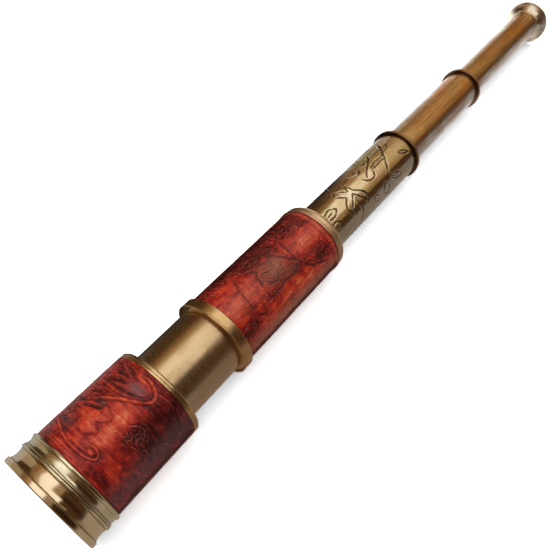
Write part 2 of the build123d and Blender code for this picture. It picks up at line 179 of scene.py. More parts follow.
# ---- floor -----------------------------------------------------------
floor_mesh = bpy.data.meshes.new("floor")
verts, faces = [], []
N = 24
for i in range(N + 1):
    for j in range(N + 1):
        x = -2.2 + 5.0 * i / N
        y = -2.6 + 5.2 * j / N
        verts.append((x, y, floor_z(x / MM) * MM))
for i in range(N):
    for j in range(N):
        a = i * (N + 1) + j
        faces.append((a, a + N + 1, a + N + 2, a + 1))
floor_mesh.from_pydata(verts, [], faces)
floor = bpy.data.objects.new("floor", floor_mesh)
scene.collection.objects.link(floor)
mat, nt = node_tree("floor_paper")
n = Net(nt)
out = n.add("ShaderNodeOutputMaterial")
paper = n.add("ShaderNodeBsdfDiffuse")
grain = n.noise(n.coords(), 900.0, 2.0)
n.put(paper.inputs["Color"], n.mix(grain, (0.90, 0.90, 0.895), (0.93, 0.93, 0.925)))
# To glossy rays the paper is instead a glow whose colour is set place by place: a painted reflection in the metal.
painted_reflection = n.add("ShaderNodeEmission")
xyz = n.add("ShaderNodeSeparateXYZ")
n.put(xyz.inputs[0], n.coords())
fx, fy = xyz.outputs["X"], xyz.outputs["Y"]
off = n.math("ABSOLUTE", fy)
# q is the place along the tubes that sees this spot of paper
q = n.math("DIVIDE", n.math("ADD", fx, n.math("MULTIPLY", off, 0.0153)), n.math("ADD", n.math("MULTIPLY", off, 3.817), 1.0))
near_side = n.mix(n.ramp(q, 0.012, 0.050), (0.34, 0.29, 0.25), (0.25, 0.185, 0.155))
near_side = n.mix(n.ramp(q, 0.15, 0.22), near_side, (0.285, 0.26, 0.24))
near_side = n.mix(n.ramp(q, 0.262, 0.300), near_side, (0.42, 0.42, 0.43))
near_side = n.mix(n.ramp(q, 0.33, 0.43), near_side, (0.66, 0.68, 0.72))
# painted reflection, paler close beside the tubes, darker towards the horizon
beside = n.math("MULTIPLY", n.ramp(fy, -0.034, -0.008), n.ramp(q, 0.22, 0.38))
near_side = n.mix(beside, near_side, (1.28, 1.31, 1.38))
near_side = n.mix(n.ramp(q, 0.450, 0.462), near_side, (0.42, 0.41, 0.41))
near_side = n.mix(n.math("MULTIPLY", n.ramp(fy, -0.17, -0.50), 0.88), near_side, (0.030, 0.020, 0.014))
deep = n.ramp(fy, 0.045, 0.16)
far_side = n.mix(n.ramp(q, 0.050, 0.064), (0.42, 0.40, 0.38), (0.045, 0.030, 0.022))
far_side = n.mix(n.ramp(q, 0.216, 0.234), far_side, n.mix(deep, (0.80, 0.80, 0.80), (0.40, 0.37, 0.33)))
far_side = n.mix(n.ramp(q, 0.264, 0.280), far_side, n.mix(deep, (1.65, 1.70, 1.78), (0.84, 0.86, 0.88)))
far_side = n.mix(n.ramp(q, 0.405, 0.440), far_side, n.mix(deep, (1.20, 1.25, 1.32), (0.95, 0.97, 1.00)))
far_side = n.mix(n.ramp(q, 0.458, 0.470), far_side, (0.80, 0.80, 0.80))
n.put(painted_reflection.inputs["Color"], n.mix(n.ramp(fy, -0.004, 0.026), near_side, far_side))
see = n.add("ShaderNodeLightPath")
# far off, the paper curves up into the backdrop; close by, it is lit from below
glow = n.add("ShaderNodeEmission", {"Color": (1.0, 1.0, 1.0, 1), "Strength": 1.0})
away = n.math("SQRT", n.math("ADD", n.math("MULTIPLY", fx, fx), n.math("MULTIPLY", fy, fy)))
cove = n.add("ShaderNodeMixShader")
n.put(cove.inputs[0], n.ramp(away, 0.55, 1.25))
nt.links.new(paper.outputs[0], cove.inputs[1])
nt.links.new(glow.outputs[0], cove.inputs[2])
under = n.add("ShaderNodeEmission", {"Color": (1.0, 1.0, 1.0, 1), "Strength": 1.0})
n.put(under.inputs["Strength"], n.math("MULTIPLY", see.outputs["Is Camera Ray"], 0.38))
lit = n.add("ShaderNodeAddShader")
nt.links.new(cove.outputs[0], lit.inputs[0])
nt.links.new(under.outputs[0], lit.inputs[1])
both = n.add("ShaderNodeMixShader")
nt.links.new(see.outputs["Is Glossy Ray"], both.inputs[0])
nt.links.new(lit.outputs[0], both.inputs[1])
nt.links.new(painted_reflection.outputs[0], both.inputs[2])
nt.links.new(both.outputs[0], out.inputs[0])
floor_mesh.materials.append(mat)

# ---- world: pale backdrop for the eye, warm dim room for the metal ---------
world = bpy.data.worlds.new("studio")
scene.world = world
world.use_nodes = True
wt = world.node_tree
wt.nodes.clear()
n = Net(wt)
wout = n.add("ShaderNodeOutputWorld")
bg_room = n.add("ShaderNodeBackground", {"Color": (1.0, 0.43, 0.14, 1), "Strength": 0.064})
way = n.add("ShaderNodeSeparateXYZ")
n.put(way.inputs[0], n.add("ShaderNodeTexCoord").outputs["Generated"])
n.put(bg_room.inputs["Strength"], n.ramp(n.math("ABSOLUTE", way.outputs["X"]), 0.06, 0.34, 0.020, 0.062))
bg_air = n.add("ShaderNodeBackground", {"Color": (1.0, 0.99, 0.98, 1), "Strength": 0.28})
bg_eye = n.add("ShaderNodeBackground", {"Color": (1, 1, 1, 1), "Strength": 1.0})
path = n.add("ShaderNodeLightPath")
mix_a = n.add("ShaderNodeMixShader")
wt.links.new(path.outputs["Is Glossy Ray"], mix_a.inputs[0])
wt.links.new(bg_air.outputs[0], mix_a.inputs[1])
wt.links.new(bg_room.outputs[0], mix_a.inputs[2])
mix_b = n.add("ShaderNodeMixShader")
wt.links.new(path.outputs["Is Camera Ray"], mix_b.inputs[0])
wt.links.new(mix_a.outputs[0], mix_b.inputs[1])
wt.links.new(bg_eye.outputs[0], mix_b.inputs[2])
wt.links.new(mix_b.outputs[0], wout.inputs[0])


def softbox(name, x, y, z, radiance, color=(1, 1, 1), diffuse=False, glossy=True):
    """A flat lamp between two corners; one of x, y, z is a single number and is the way it faces."""
    lo = [v[0] if isinstance(v, tuple) else v for v in (x, y, z)]
    hi = [v[1] if isinstance(v, tuple) else v for v in (x, y, z)]
    mid = [(a + b) / 2 for a, b in zip(lo, hi)]
    data = bpy.data.lights.new(name, "AREA")
    data.shape = "RECTANGLE"
    if lo[2] == hi[2]:
        data.size, data.size_y = hi[0] - lo[0], hi[1] - lo[1]
        turn = Matrix.Identity(3)
    else:
        data.size, data.size_y = hi[0] - lo[0], hi[2] - lo[2]
        sy = 1.0 if mid[1] > 0 else -1.0
        turn = Matrix(((1, 0, 0), (0, 0, sy), (0, 1, 0)))
        if turn.determinant() < 0:
            turn = Matrix(((-1, 0, 0), (0, 0, sy), (0, 1, 0)))
    data.energy = radiance * math.pi * data.size * data.size_y
    data.color = color
    ob = bpy.data.objects.new(name, data)
    scene.collection.objects.link(ob)
    ob.matrix_world = Matrix.Translation(mid) @ turn.to_4x4()
    ob.visible_diffuse = diffuse
    ob.visible_glossy = glossy
    ob.visible_transmission = glossy
    ob.visible_camera = False
    return ob


softbox("fill", (-0.45, 0.85), (-0.42, 0.56), 0.66, 3.15, diffuse=True, glossy=False)
softbox("gloss_front", (-0.60, 0.03), (-0.12, 0.25), 0.60, 1.08, color=(1.0, 0.99, 1.0))
softbox("gloss_front_dim", (-0.60, 0.195), (-0.36, -0.12), 0.60, 0.25, color=(1.0, 0.72, 0.46))
softbox("gloss_main_front", (0.03, 0.195), (-0.12, 0.25), 0.60, 1.00)
softbox("gloss_main", (0.195, 0.80), (-0.46, 0.24), 0.60, 0.98)
softbox("gloss_mid", (0.80, 1.00), (-0.52, 0.23), 0.60, 0.62, color=(1.0, 0.88, 0.66))
softbox("gloss_edge", (-0.60, 0.80), (0.25, 0.42), 0.601, 0.34, color=(1.0, 0.68, 0.35))
softbox("gloss_edge_low", (-0.60, 0.64), (0.42, 0.66), 0.601, 0.18, color=(1.0, 0.56, 0.24))
softbox("gloss_far", (1.00, 1.90), (-1.00, 0.70), 0.60, 0.40, color=(1.0, 0.78, 0.50))
softbox("gloss_far_low", (0.80, 1.00), (-1.00, -0.52), 0.60, 0.34, color=(1.0, 0.78, 0.50))
softbox("gloss_far_high", (0.80, 1.00), (0.23, 0.70), 0.60, 0.34, color=(1.0, 0.74, 0.44))
softbox("card_front", (-0.40, 0.12), 0.68, (0.0, 0.59), 0.30, color=(1.0, 0.84, 0.60))
softbox("card_mid", (0.80, 0.98), 0.68, (0.0, 0.36), 0.24, color=(1.0, 0.76, 0.48))
softbox("card_far", (0.985, 1.90), 0.68, (0.0, 0.40), 0.88, color=(0.96, 0.97, 1.0))


# =====================================================================
# turned pieces
# =====================================================================
def arc3(p, q, r, n=10):
    """Points after p, up to r, on the circle through p, q and r."""
    (ax, ay), (bx, by), (cx, cy) = p, q, r
    d = 2 * (ax * (by - cy) + bx * (cy - ay) + cx * (ay - by))
    ux = ((ax**2 + ay**2) * (by - cy) + (bx**2 + by**2) * (cy - ay) + (cx**2 + cy**2) * (ay - by)) / d
    uy = ((ax**2 + ay**2) * (cx - bx) + (bx**2 + by**2) * (ax - cx) + (cx**2 + cy**2) * (bx - ax)) / d
    a0, a1, a2 = (math.atan2(y - uy, x - ux) for x, y in (p, q, r))
    rad = math.hypot(ax - ux, ay - uy)
    turn = (a2 - a0) % (2 * math.pi)
    if (a1 - a0) % (2 * math.pi) > turn:
        turn -= 2 * math.pi
    return [(ux + rad * math.cos(a0 + turn * i / n), uy + rad * math.sin(a0 + turn * i / n)) for i in range(1, n + 1)]


def ring_profile(node):
    """The closed (x, r) outline of a turned CAD node, in mm, read from its mesh. None where its rings aren't regular."""
    me = NODES[node].data
    co = np.zeros(len(me.vertices) * 3, np.float32)
    me.vertices.foreach_get("co", co)
    co = co.reshape(-1, 3).astype(float) / MM
    xr = np.c_[co[:, 0], np.hypot(co[:, 1], co[:, 2])]
    reps, lab = [], np.zeros(len(xr), int)
    for i, p in enumerate(xr):
        for j, q in enumerate(reps):
            if abs(p[0] - q[0]) < 0.004 and abs(p[1] - q[1]) < 0.004:
                lab[i] = j
                break
        else:
            reps.append(p)
            lab[i] = len(reps) - 1
    near = {k: set() for k in range(len(reps))}
    for f in me.polygons:
        s = sorted(set(lab[list(f.vertices)]))
        if len(s) == 2:
            near[s[0]].add(s[1])
            near[s[1]].add(s[0])
        elif len(s) > 2:
            return None
    if any(len(v) != 2 for v in near.values()):
        return None
    loop, prev, here = [0], None, 0
    while True:
        nxt = [k for k in near[here] if k != prev]
        prev, here = here, nxt[0]
        if here == 0:
            break
        loop.append(here)
        if len(loop) > len(reps):
            return None
    if len(loop) != len(reps):
        return None
    return [tuple(map(float, reps[k])) for k in loop]


def rounded(loop, radius):
    """The outline with every sharp corner rounded, plus support points beside each corner. Returns points and, for each, -1 in a hollow corner, +1 on a proud one."""
    area = sum(loop[i][0] * loop[(i + 1) % len(loop)][1] - loop[(i + 1) % len(loop)][0] * loop[i][1] for i in range(len(loop)))
    if area < 0:
        loop = loop[::-1]
    pts, sign = [], []
    L = len(loop)
    for i in range(L):
        p, q, r = (np.array(loop[(i + k) % L], float) for k in (-1, 0, 1))
        a, b = p - q, r - q
        la, lb = np.linalg.norm(a), np.linalg.norm(b)
        a, b = a / la, b / lb
        cosang = float(np.clip(a @ b, -1, 1))
        turn = math.pi - math.acos(cosang)
        cross = float(-a[0] * b[1] + a[1] * b[0])
        s = 1.0 if cross > 0 else -1.0
        if turn < math.radians(24):
            pts.append(tuple(q))
            sign.append(0.0)
            continue
        cut = min(radius * math.tan(turn / 2), 0.40 * la, 0.40 * lb)
        p0, p1 = q + a * cut, q + b * cut
        sup = min(cut * 0.7, 0.45 * la - cut, 0.45 * lb - cut)
        if sup > 0.012:
            pts.append(tuple(q + a * (cut + sup)))
            sign.append(0.35 * s)
        for k in range(5):
            t = k / 4
            pts.append(tuple((1 - t) ** 2 * p0 + 2 * t * (1 - t) * q + t * t * p1))
            sign.append(s)
        if sup > 0.012:
            pts.append(tuple(q + b * (cut + sup)))
            sign.append(0.35 * s)
    # long runs get points so that wear and dirt can fade along them
    out, osign = [], []
    L = len(pts)
    for i in range(L):
        p, q = np.array(pts[i]), np.array(pts[(i + 1) % L])
        d = np.linalg.norm(q - p)
        out.append(tuple(p))
        osign.append(sign[i])
        k = int(min(60, d // 0.9)) if abs(q[0] - p[0]) > 0.2 * d else int(min(8, d // 0.6))
        for j in range(1, k + 1):
            t = j / (k + 1)
            out.append(tuple(p * (1 - t) + q * t))
            osign.append(0.0)
    return out, osign


def spread(pts, sign, reach=0.55):
    """Hollow and proud corners fade along the outline."""
    P = np.array(pts)
    s = np.array(sign)
    val = np.zeros(len(P))
    for sg in (-1.0, 1.0):
        src = P[s * sg > 0.9]
        if len(src):
            d = np.sqrt(((P[:, None] - src[None]) ** 2).sum(-1)).min(1)
            val += sg * np.clip(1 - d / reach, 0, 1) ** 1.5
    return val


def link_object(name, mesh):
    ob = bpy.data.objects.new(name, mesh)
    scene.collection.objects.link(ob)
    return ob


def put_attr(mesh, name, values):
    a = mesh.attributes.new(name, "FLOAT", "POINT")
    a.data.foreach_set("value", np.asarray(values, np.float32))


def grid_mesh(name, V, closed_rows, closed_cols):
    """V is (rows, cols, 3) in metres; quads between neighbours."""
    rows, cols = V.shape[:2]
    idx = np.arange(rows * cols).reshape(rows, cols)
    i0 = idx if closed_rows else idx[:-1]
    i1 = np.roll(idx, -1, 0) if closed_rows else idx[1:]
    a, d = i0, i1
    if closed_cols:
        b, c = np.roll(i0, -1, 1), np.roll(i1, -1, 1)
    else:
        a, b, c, d = i0[:, :-1], i0[:, 1:], i1[:, 1:], i1[:, :-1]
    F = np.stack([a, b, c, d], -1).reshape(-1, 4)
    me = bpy.data.meshes.new(name)
    me.vertices.add(rows * cols)
    me.vertices.foreach_set("co", V.reshape(-1).astype(np.float32))
    me.loops.add(F.size)
    me.loops.foreach_set("vertex_index", F.reshape(-1).astype(np.int32))
    me.polygons.add(len(F))
    me.polygons.foreach_set("loop_start", np.arange(0, F.size, 4, dtype=np.int32))
    me.update(calc_edges=True)
    me.polygons.foreach_set("use_smooth", np.ones(len(F), bool))
    me.validate()
    me.update()
    return me


def outward(me, probe_axis=True):
    """Turns the faces so that the closed mesh has a positive volume."""
    import bmesh
    bm = bmesh.new()
    bm.from_mesh(me)
    if bm.calc_volume(signed=True) < 0:
        bmesh.ops.reverse_faces(bm, faces=bm.faces)
    bm.to_mesh(me)
    bm.free()


def lathe(name, node, body, loop=None, radius=0.09, seg=224):
    if loop is None:
        loop = ring_profile(node)
    if loop is None:
        raise RuntimeError("no regular outline for " + node)
    pts, sign = rounded(loop, radius)
    wear = spread(pts, sign)
    P = np.array(pts)
    x0, x1, rr = span(node)
    if abs(P[:, 0].min() - x0) > 0.12 or abs(P[:, 0].max() - x1) > 0.12 or abs(P[:, 1].max() - rr) > 0.12:
        raise RuntimeError(f"{name} differs from {node}: {P.min(0)} {P.max(0)} against {x0} {x1} {rr}")
    t = np.arange(seg) / seg * 2 * math.pi
    V = np.zeros((len(P), seg, 3))
    V[..., 0] = P[:, 0:1]
    V[..., 1] = P[:, 1:2] * np.cos(t)[None]
    V[..., 2] = P[:, 1:2] * np.sin(t)[None]
    V[..., 1:] *= 0.9997 if P[:, 1].max() > 25.1 else 0.9999  # stays inside the CAD part's facets
    me = grid_mesh(name, V * MM, True, True)
    put_attr(me, "wear", np.repeat(wear, seg))
    put_attr(me, "inside", np.repeat(inner_side(P), seg))
    put_attr(me, "front", np.repeat(front_side(P), seg))
    put_attr(me, "band", np.tile(painted_sheen_band(np.degrees(t)), len(P)))
    outward(me)
    ob = link_object(name, me)
    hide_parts(node)
    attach(ob, body)
    return ob


def front_side(P):
    """1 where the outline faces the front of the telescope."""
    e = np.roll(P, -1, 0) - np.roll(P, 1, 0)
    area = np.sum(P[:, 0] * np.roll(P[:, 1], -1) - np.roll(P[:, 0], -1) * P[:, 1])
    nx = e[:, 1] / np.maximum(np.hypot(e[:, 0], e[:, 1]), 1e-9) * (1.0 if area > 0 else -1.0)
    return np.clip(-nx, 0, 1) ** 2


def painted_sheen_band(deg):
    """1 in the two stripes along a tube that keep the coppery tone, 0 between them, where the paler colour is a painted
    reflection along the sides that the main view sees edge-on.
    """
    out = np.zeros(np.shape(deg))
    for mid, half, soft in ((102.0, 31.0, 20.0), (287.0, 36.0, 26.0)):
        d = np.abs((deg - mid + 180.0) % 360.0 - 180.0)
        u = np.clip((half + soft - d) / soft, 0, 1)
        out = np.maximum(out, u * u * (3 - 2 * u))
    return out


def inner_side(P):
    """1 on the bore side of a tube's outline, 0 outside."""
    c = (P[:, 1].max() + P[:, 1].min()) / 2
    return (P[:, 1] < c - 0.15 * (P[:, 1].max() - P[:, 1].min())).astype(float)


# =====================================================================
# materials: brass
# =====================================================================
def brass(name, light, dark, tarnish=0.35, rough=(0.20, 0.36), streak=(1, 1, 1), grain="lathe",
          spots=0.25, crevice=(0.035, 0.018, 0.006), edge=(0.86, 0.68, 0.42), dent=0.10, engraved=False,
          lined=0.12, drawn=0.0, hot=None, pale=None, painted_front_shade=0.0, bore=None, hues=None, stain=0.0):
    """Old polished brass. Long soft clouds of patina, small dark spots, fine tool lines, dark hollows and bright worn edges."""
    mat, nt = node_tree(name)
    n = Net(nt)
    out = n.add("ShaderNodeOutputMaterial")
    b = n.add("ShaderNodeBsdfPrincipled")
    nt.links.new(b.outputs[0], out.inputs[0])
    b.inputs["Metallic"].default_value = 1.0
    co = n.coords()
    wear = n.attr("wear").outputs["Fac"]
    clouds = n.noise(n.scaled(co, streak), 34.0, 5.0, 0.62, 0.6)
    patches = n.noise(n.scaled(co, (0.8, 1, 1)), 110.0, 4.0, 0.6, 0.3)
    fine = n.noise(co, 620.0, 3.0, 0.6)
    age = n.math("ADD", n.math("MULTIPLY", clouds, 0.65), n.math("MULTIPLY", patches, 0.35))
    amount = n.ramp(age, 0.40, 0.64, 0.0, tarnish)
    if pale:
        # painted reflection: paler stripes between the coppery ones, along the tube's sides, with a wandering edge
        sheen_stripe = n.math("ADD", n.attr("band").outputs["Fac"], n.math("MULTIPLY", n.math("SUBTRACT", patches, 0.5), 0.9))
        base = n.mix(n.ramp(sheen_stripe, 0.10, 0.90, smooth=False), pale, light)
    else:
        base = light
    col = n.mix(amount, base, dark)
    if hues:
        # rosy and olive clouds in the metal
        h1 = n.noise(n.scaled(co, (0.6, 1, 1)), 85.0, 2.0, 0.5)
        calm = n.ramp(sheen_stripe, 0.15, 0.85, 0.40, 1.0) if pale and drawn > 0.5 else 1.0
        col = n.mix(n.math("MULTIPLY", n.ramp(h1, 0.52, 0.66, 0.0, 0.60), calm), col, hues[0])
        col = n.mix(n.math("MULTIPLY", n.ramp(h1, 0.48, 0.36, 0.0, 0.60), calm), col, hues[1])
    if drawn:
        # long streaks left by the draw bench and by years of sliding
        long = n.noise(n.scaled(co, (0.040, 1.0, 1.0)), 800.0, 4.0, 0.66)
        wide = n.noise(n.scaled(co, (0.10, 1.0, 1.0)), 190.0, 3.0, 0.6)
        flame = n.noise(n.scaled(co, (0.28, 1.0, 1.0)), 120.0, 3.0, 0.55, 0.4)
        warm = n.ramp(sheen_stripe, 0.15, 0.85, 0.25, 1.0) if pale else 1.0
        col = n.mix(n.math("MULTIPLY", n.math("MULTIPLY", n.ramp(flame, 0.54, 0.66), drawn * 0.75), warm), col, hot or light)
        col = n.mix(n.math("MULTIPLY", n.math("MULTIPLY", n.ramp(wide, 0.52, 0.64), drawn * 0.8), warm), col, hot or light)
        col = n.mix(n.math("MULTIPLY", n.ramp(long, 0.50, 0.64), drawn * 0.62), col, dark)
        col = n.mix(n.math("MULTIPLY", n.ramp(long, 0.42, 0.32), drawn * 0.26), col, edge)
    # small dark spots of old lacquer
    speck = n.add("ShaderNodeTexVoronoi", feature="F1")
    n.put(speck.inputs["Vector"], n.scaled(co, (0.7, 1, 1)))
    speck.inputs["Scale"].default_value = 240.0
    dots = n.ramp(speck.outputs["Distance"], 0.10, 0.26, 1.0, 0.0)
    some = n.ramp(n.noise(co, 70.0, 2.0), 0.52, 0.68)
    col = n.mix(n.math("MULTIPLY", n.math("MULTIPLY", dots, some), spots), col, crevice)
    # hollows and edges
    hollow = n.ramp(n.math("MULTIPLY", wear, -1.0), 0.12, 0.95)
    proud = n.ramp(wear, 0.25, 1.0)
    brk = n.ramp(fine, 0.30, 0.62, 0.60, 1.0)
    if painted_front_shade:
        # painted shade: faces that look to the front of the telescope are darkened nearly to black
        front_shade_mask = n.ramp(n.attr("front").outputs["Fac"], 0.15, 0.85, 0.0, painted_front_shade)
        col = n.mix(n.math("MULTIPLY", front_shade_mask, n.ramp(patches, 0.25, 0.65, 0.78, 1.0)), col, (0.060, 0.030, 0.020))
    if stain:
        # painted shade: grey-brown on the -Y side, low down
        at = n.add("ShaderNodeSeparateXYZ")
        n.put(at.inputs[0], co)
        held = n.math("MULTIPLY", n.ramp(at.outputs["Y"], -0.0075, -0.0135), n.ramp(at.outputs["Z"], 0.0075, -0.0010))
        held = n.math("MULTIPLY", held, n.ramp(patches, 0.30, 0.62, 0.80, 1.0))
        col = n.mix(n.math("MULTIPLY", held, stain), col, (0.115, 0.070, 0.042))
    if bore:
        # the bore side is made darker and browner
        deep = n.ramp(n.attr("inside").outputs["Fac"], 0.3, 0.9)
        col = n.mix(n.math("MULTIPLY", deep, n.ramp(clouds, 0.30, 0.66, 0.95, 0.60)), col, bore)
    col = n.mix(n.math("MULTIPLY", hollow, n.math("MULTIPLY", brk, 0.92)), col, crevice)
    col = n.mix(n.math("MULTIPLY", proud, n.math("MULTIPLY", brk, 0.62)), col, edge)
    cut = None
    if engraved:
        cut = n.attr("cut").outputs["Fac"]
        pol = n.attr("lift").outputs["Fac"]
        col = n.mix(n.math("MULTIPLY", pol, 0.62), col, edge)
        rub = n.ramp(n.noise(co, 260.0, 3.0), 0.28, 0.66, 0.76, 1.0)
        col = n.mix(n.math("MULTIPLY", n.ramp(cut, 0.10, 0.80, smooth=False), rub), col, (0.072, 0.041, 0.012))
    n.put(b.inputs["Base Color"], col)
    r = n.math("ADD", n.ramp(age, 0.35, 0.68, rough[0], rough[1]), n.math("MULTIPLY", n.ramp(fine, 0.35, 0.7), 0.05))
    r = n.math("ADD", r, n.math("MULTIPLY", hollow, 0.30))
    if cut is not None:
        r = n.math("ADD", r, n.math("MULTIPLY", n.ramp(cut, 0.15, 0.8), 0.35))
    n.put(b.inputs["Roughness"], n.math("MINIMUM", r, 0.85))
    # tool lines: turned rings on rims and collars, drawing lines along the tubes
    if grain == "lathe":
        v = n.scaled(co, (1.0, 0.012, 0.012))
        lines = n.noise(v, 5200.0, 2.0, 0.6)
        wave = n.noise(n.scaled(co, (1.0, 0.6, 0.6)), 48.0, 2.0)
    else:
        v = n.scaled(co, (0.018, 1.0, 1.0))
        lines = n.noise(v, 3400.0, 2.0, 0.6)
        wave = n.noise(n.scaled(co, (0.35, 1, 1)), 42.0, 2.0)
    b1 = n.add("ShaderNodeBump", {"Strength": lined if grain == "lathe" else 0.4 * lined, "Distance": 0.00003})
    n.put(b1.inputs["Height"], lines)
    b2 = n.add("ShaderNodeBump", {"Strength": dent, "Distance": 0.0006})
    n.put(b2.inputs["Height"], wave)
    nt.links.new(b1.outputs[0], b2.inputs["Normal"])
    b3 = n.add("ShaderNodeBump", {"Strength": 0.14 if grain == "lathe" else 0.05, "Distance": 0.00004})
    n.put(b3.inputs["Height"], fine)
    nt.links.new(b2.outputs[0], b3.inputs["Normal"])
    last = b3
    if drawn:
        b4 = n.add("ShaderNodeBump", {"Strength": 0.5 * drawn, "Distance": 0.00010})
        n.put(b4.inputs["Height"], n.math("ADD", wide, n.math("MULTIPLY", long, 0.35)))
        nt.links.new(b3.outputs[0], b4.inputs["Normal"])
        last = b4
    nt.links.new(last.outputs[0], b.inputs["Normal"])
    return mat


M_BEZEL = brass("bezel_brass", (0.92, 0.76, 0.51), (0.60, 0.36, 0.14), tarnish=0.25, rough=(0.115, 0.165), dent=0.02,
                bore=(0.26, 0.085, 0.040))
M_CELL = brass("cell_brass", (0.80, 0.68, 0.48), (0.58, 0.44, 0.26), tarnish=0.30, rough=(0.26, 0.38), spots=0.15)
M_GREEN = brass("green_brass", (0.88, 0.80, 0.56), (0.50, 0.42, 0.20), tarnish=0.45, rough=(0.12, 0.22), dent=0.03)
M_ANTIQUE = brass("antique_brass", (0.78, 0.57, 0.31), (0.44, 0.26, 0.10), tarnish=0.30, rough=(0.22, 0.33), grain="drawn",
                  streak=(0.25, 1, 1), dent=0.04, drawn=0.22, spots=0.05, pale=(0.78, 0.62, 0.42))
M_COLLAR = brass("antique_brass_turned", (0.80, 0.54, 0.25), (0.46, 0.26, 0.09), tarnish=0.35, rough=(0.18, 0.30), spots=0.12)
M_ROSE = brass("antique_brass_ring", (0.86, 0.62, 0.37), (0.56, 0.35, 0.17), tarnish=0.35, rough=(0.34, 0.44), spots=0.12)
M_OLIVE = brass("engraved_brass", (0.78, 0.62, 0.35), (0.36, 0.21, 0.06), tarnish=0.50, rough=(0.12, 0.23), grain="drawn",
                streak=(0.35, 1, 1), engraved=True, spots=0.35, drawn=0.30, hot=(0.62, 0.34, 0.11), pale=(0.74, 0.66, 0.54),
                hues=((0.78, 0.54, 0.36), (0.62, 0.54, 0.27)), edge=(0.94, 0.80, 0.58))
M_COPPER = brass("copper_brass", (0.76, 0.46, 0.18), (0.34, 0.14, 0.035), tarnish=0.55, rough=(0.22, 0.36), grain="drawn",
                 streak=(0.22, 1, 1), spots=0.45, drawn=0.95, hot=(0.72, 0.29, 0.06), pale=(0.78, 0.77, 0.69),
                 hues=((0.74, 0.38, 0.15), (0.54, 0.40, 0.17)))
M_DARK = brass("dark_brass", (0.54, 0.33, 0.16), (0.24, 0.12, 0.05), tarnish=0.6, rough=(0.22, 0.36), edge=(0.80, 0.58, 0.36),
               painted_front_shade=0.92)
# its stain is painted shade low on the eyecup's -Y side
M_EYE = brass("green_brass_eyecup", (0.90, 0.78, 0.59), (0.56, 0.42, 0.26), tarnish=0.45, rough=(0.23, 0.34),
              stain=0.80)
M_BLACK = brass("blackened_brass", (0.035, 0.034, 0.032), (0.016, 0.015, 0.014), tarnish=0.8, rough=(0.45, 0.62), spots=0.2,
                crevice=(0.008, 0.008, 0.008), edge=(0.16, 0.13, 0.09))


def glass(name, tint=(0.90, 0.95, 0.93)):
    mat, nt = node_tree(name)
    n = Net(nt)
    out = n.add("ShaderNodeOutputMaterial")
    b = n.add("ShaderNodeBsdfPrincipled")
    nt.links.new(b.outputs[0], out.inputs[0])
    co = n.coords()
    dust = n.ramp(n.noise(co, 300.0, 4.0, 0.60), 0.62, 0.86)
    n.put(b.inputs["Base Color"], n.mix(n.math("MULTIPLY", dust, 0.15), tint, (0.70, 0.72, 0.70)))
    n.put(b.inputs["Roughness"], n.ramp(dust, 0.0, 1.0, 0.010, 0.045))
    b.inputs["IOR"].default_value = 1.52
    b.inputs["Transmission Weight"].default_value = 1.0
    b.inputs["Coat Weight"].default_value = 0.6
    b.inputs["Coat Roughness"].default_value = 0.02
    b.inputs["Coat Tint"].default_value = (0.78, 0.84, 1.0, 1.0)
    return mat


M_GLASS = glass("optical_glass")


def finish(ob, mat):
    ob.data.materials.clear()
    ob.data.materials.append(mat)
    return ob


# ---- outlines of the pieces whose arcs the mesh doesn't hold as whole rings ----
bx0, bx1, b_rim = span("objective_bezel")
bezel = [(0, 21.9), (0, b_rim - 0.75)]
bezel += arc3((0, b_rim - 0.75), (0.2197, b_rim - 0.2197), (0.75, b_rim), 8)
bezel += [(2.35, b_rim), (2.75, 24.45)] + arc3((2.75, 24.45), (5.3, 23.8), (7.9, 24.25), 22)
bezel += [(8.2, 24.05), (8.2, 22.93), (10.35, 22.93), (10.35, 21.92), (bx1, 21.92), (bx1, 20.9), (9.0, 20.9),
          (9.0, 22.35), (5.4, 22.35), (5.4, 21.9)]
c0, c1, c_r = span("draw_1_collar")
col1 = [(c0 + 1.0, 18.58), (c0 + 1.0, c_r - 0.95), (c0 + 0.25, c_r - 0.75)]
col1 += arc3((c0 + 0.25, c_r - 0.75), (c0, c_r - 0.35), (c0 + 0.4, c_r), 10)
col1 += [(c0 + 0.75, c_r - 0.05), (c0 + 0.9, c_r - 0.15), (c1 - 0.35, c_r - 0.10), (c1, c_r - 0.40), (c1, 18.58)]
R1_0, R1_1, _ = span("draw_1_rear_ring")


def small_collar(node, r_bush, r_tube_bore, lip, back):
    x0, x1, rc = span(node)
    s = x1 - back
    k = [(x0, r_bush), (x0, r_tube_bore - 0.03), (s, r_tube_bore - 0.03), (s, rc - 0.25)]
    k += arc3((s, rc - 0.25), (s + 0.0732, rc - 0.0732), (s + 0.25, rc), 6)
    k += [(s + lip, rc - 0.05), (s + lip + 0.15, rc - 0.30), (s + lip + 0.30, rc - 0.18)]
    k += arc3(k[-1], (x1 - 0.35, rc - 0.25), (x1, rc - (0.75 if back < 3 else 0.80)), 8)
    k += [(x1, r_bush)]
    return k


col2 = small_collar("draw_2_collar", 12.54, 13.92, 1.55, 2.8)
col3 = small_collar("draw_3_collar", 10.58, 11.79, 1.65, 3.1)
e_end = EYE_X1
neck = 471.7
cup = [(neck - 1.0, 4.0), (neck - 1.0, 8.2), (neck - 10.0, 8.2), (neck - 10.0, 9.80), (neck, 9.80), (neck, 11.05),
       (neck + 0.15, 11.2), (neck + 1.1, 11.2)]
cup += arc3(cup[-1], (475.9, 12.45), (478.3, R_EYECUP - 0.25), 24)
cup += arc3(cup[-1], (479.25, R_EYECUP), (e_end, 15.1), 12)
cup += arc3(cup[-1], (480.0, 14.45), (479.2, 14.15), 6)
cup += arc3(cup[-1], (475.2, 9.6), (neck + 0.9, 4.35), 24)

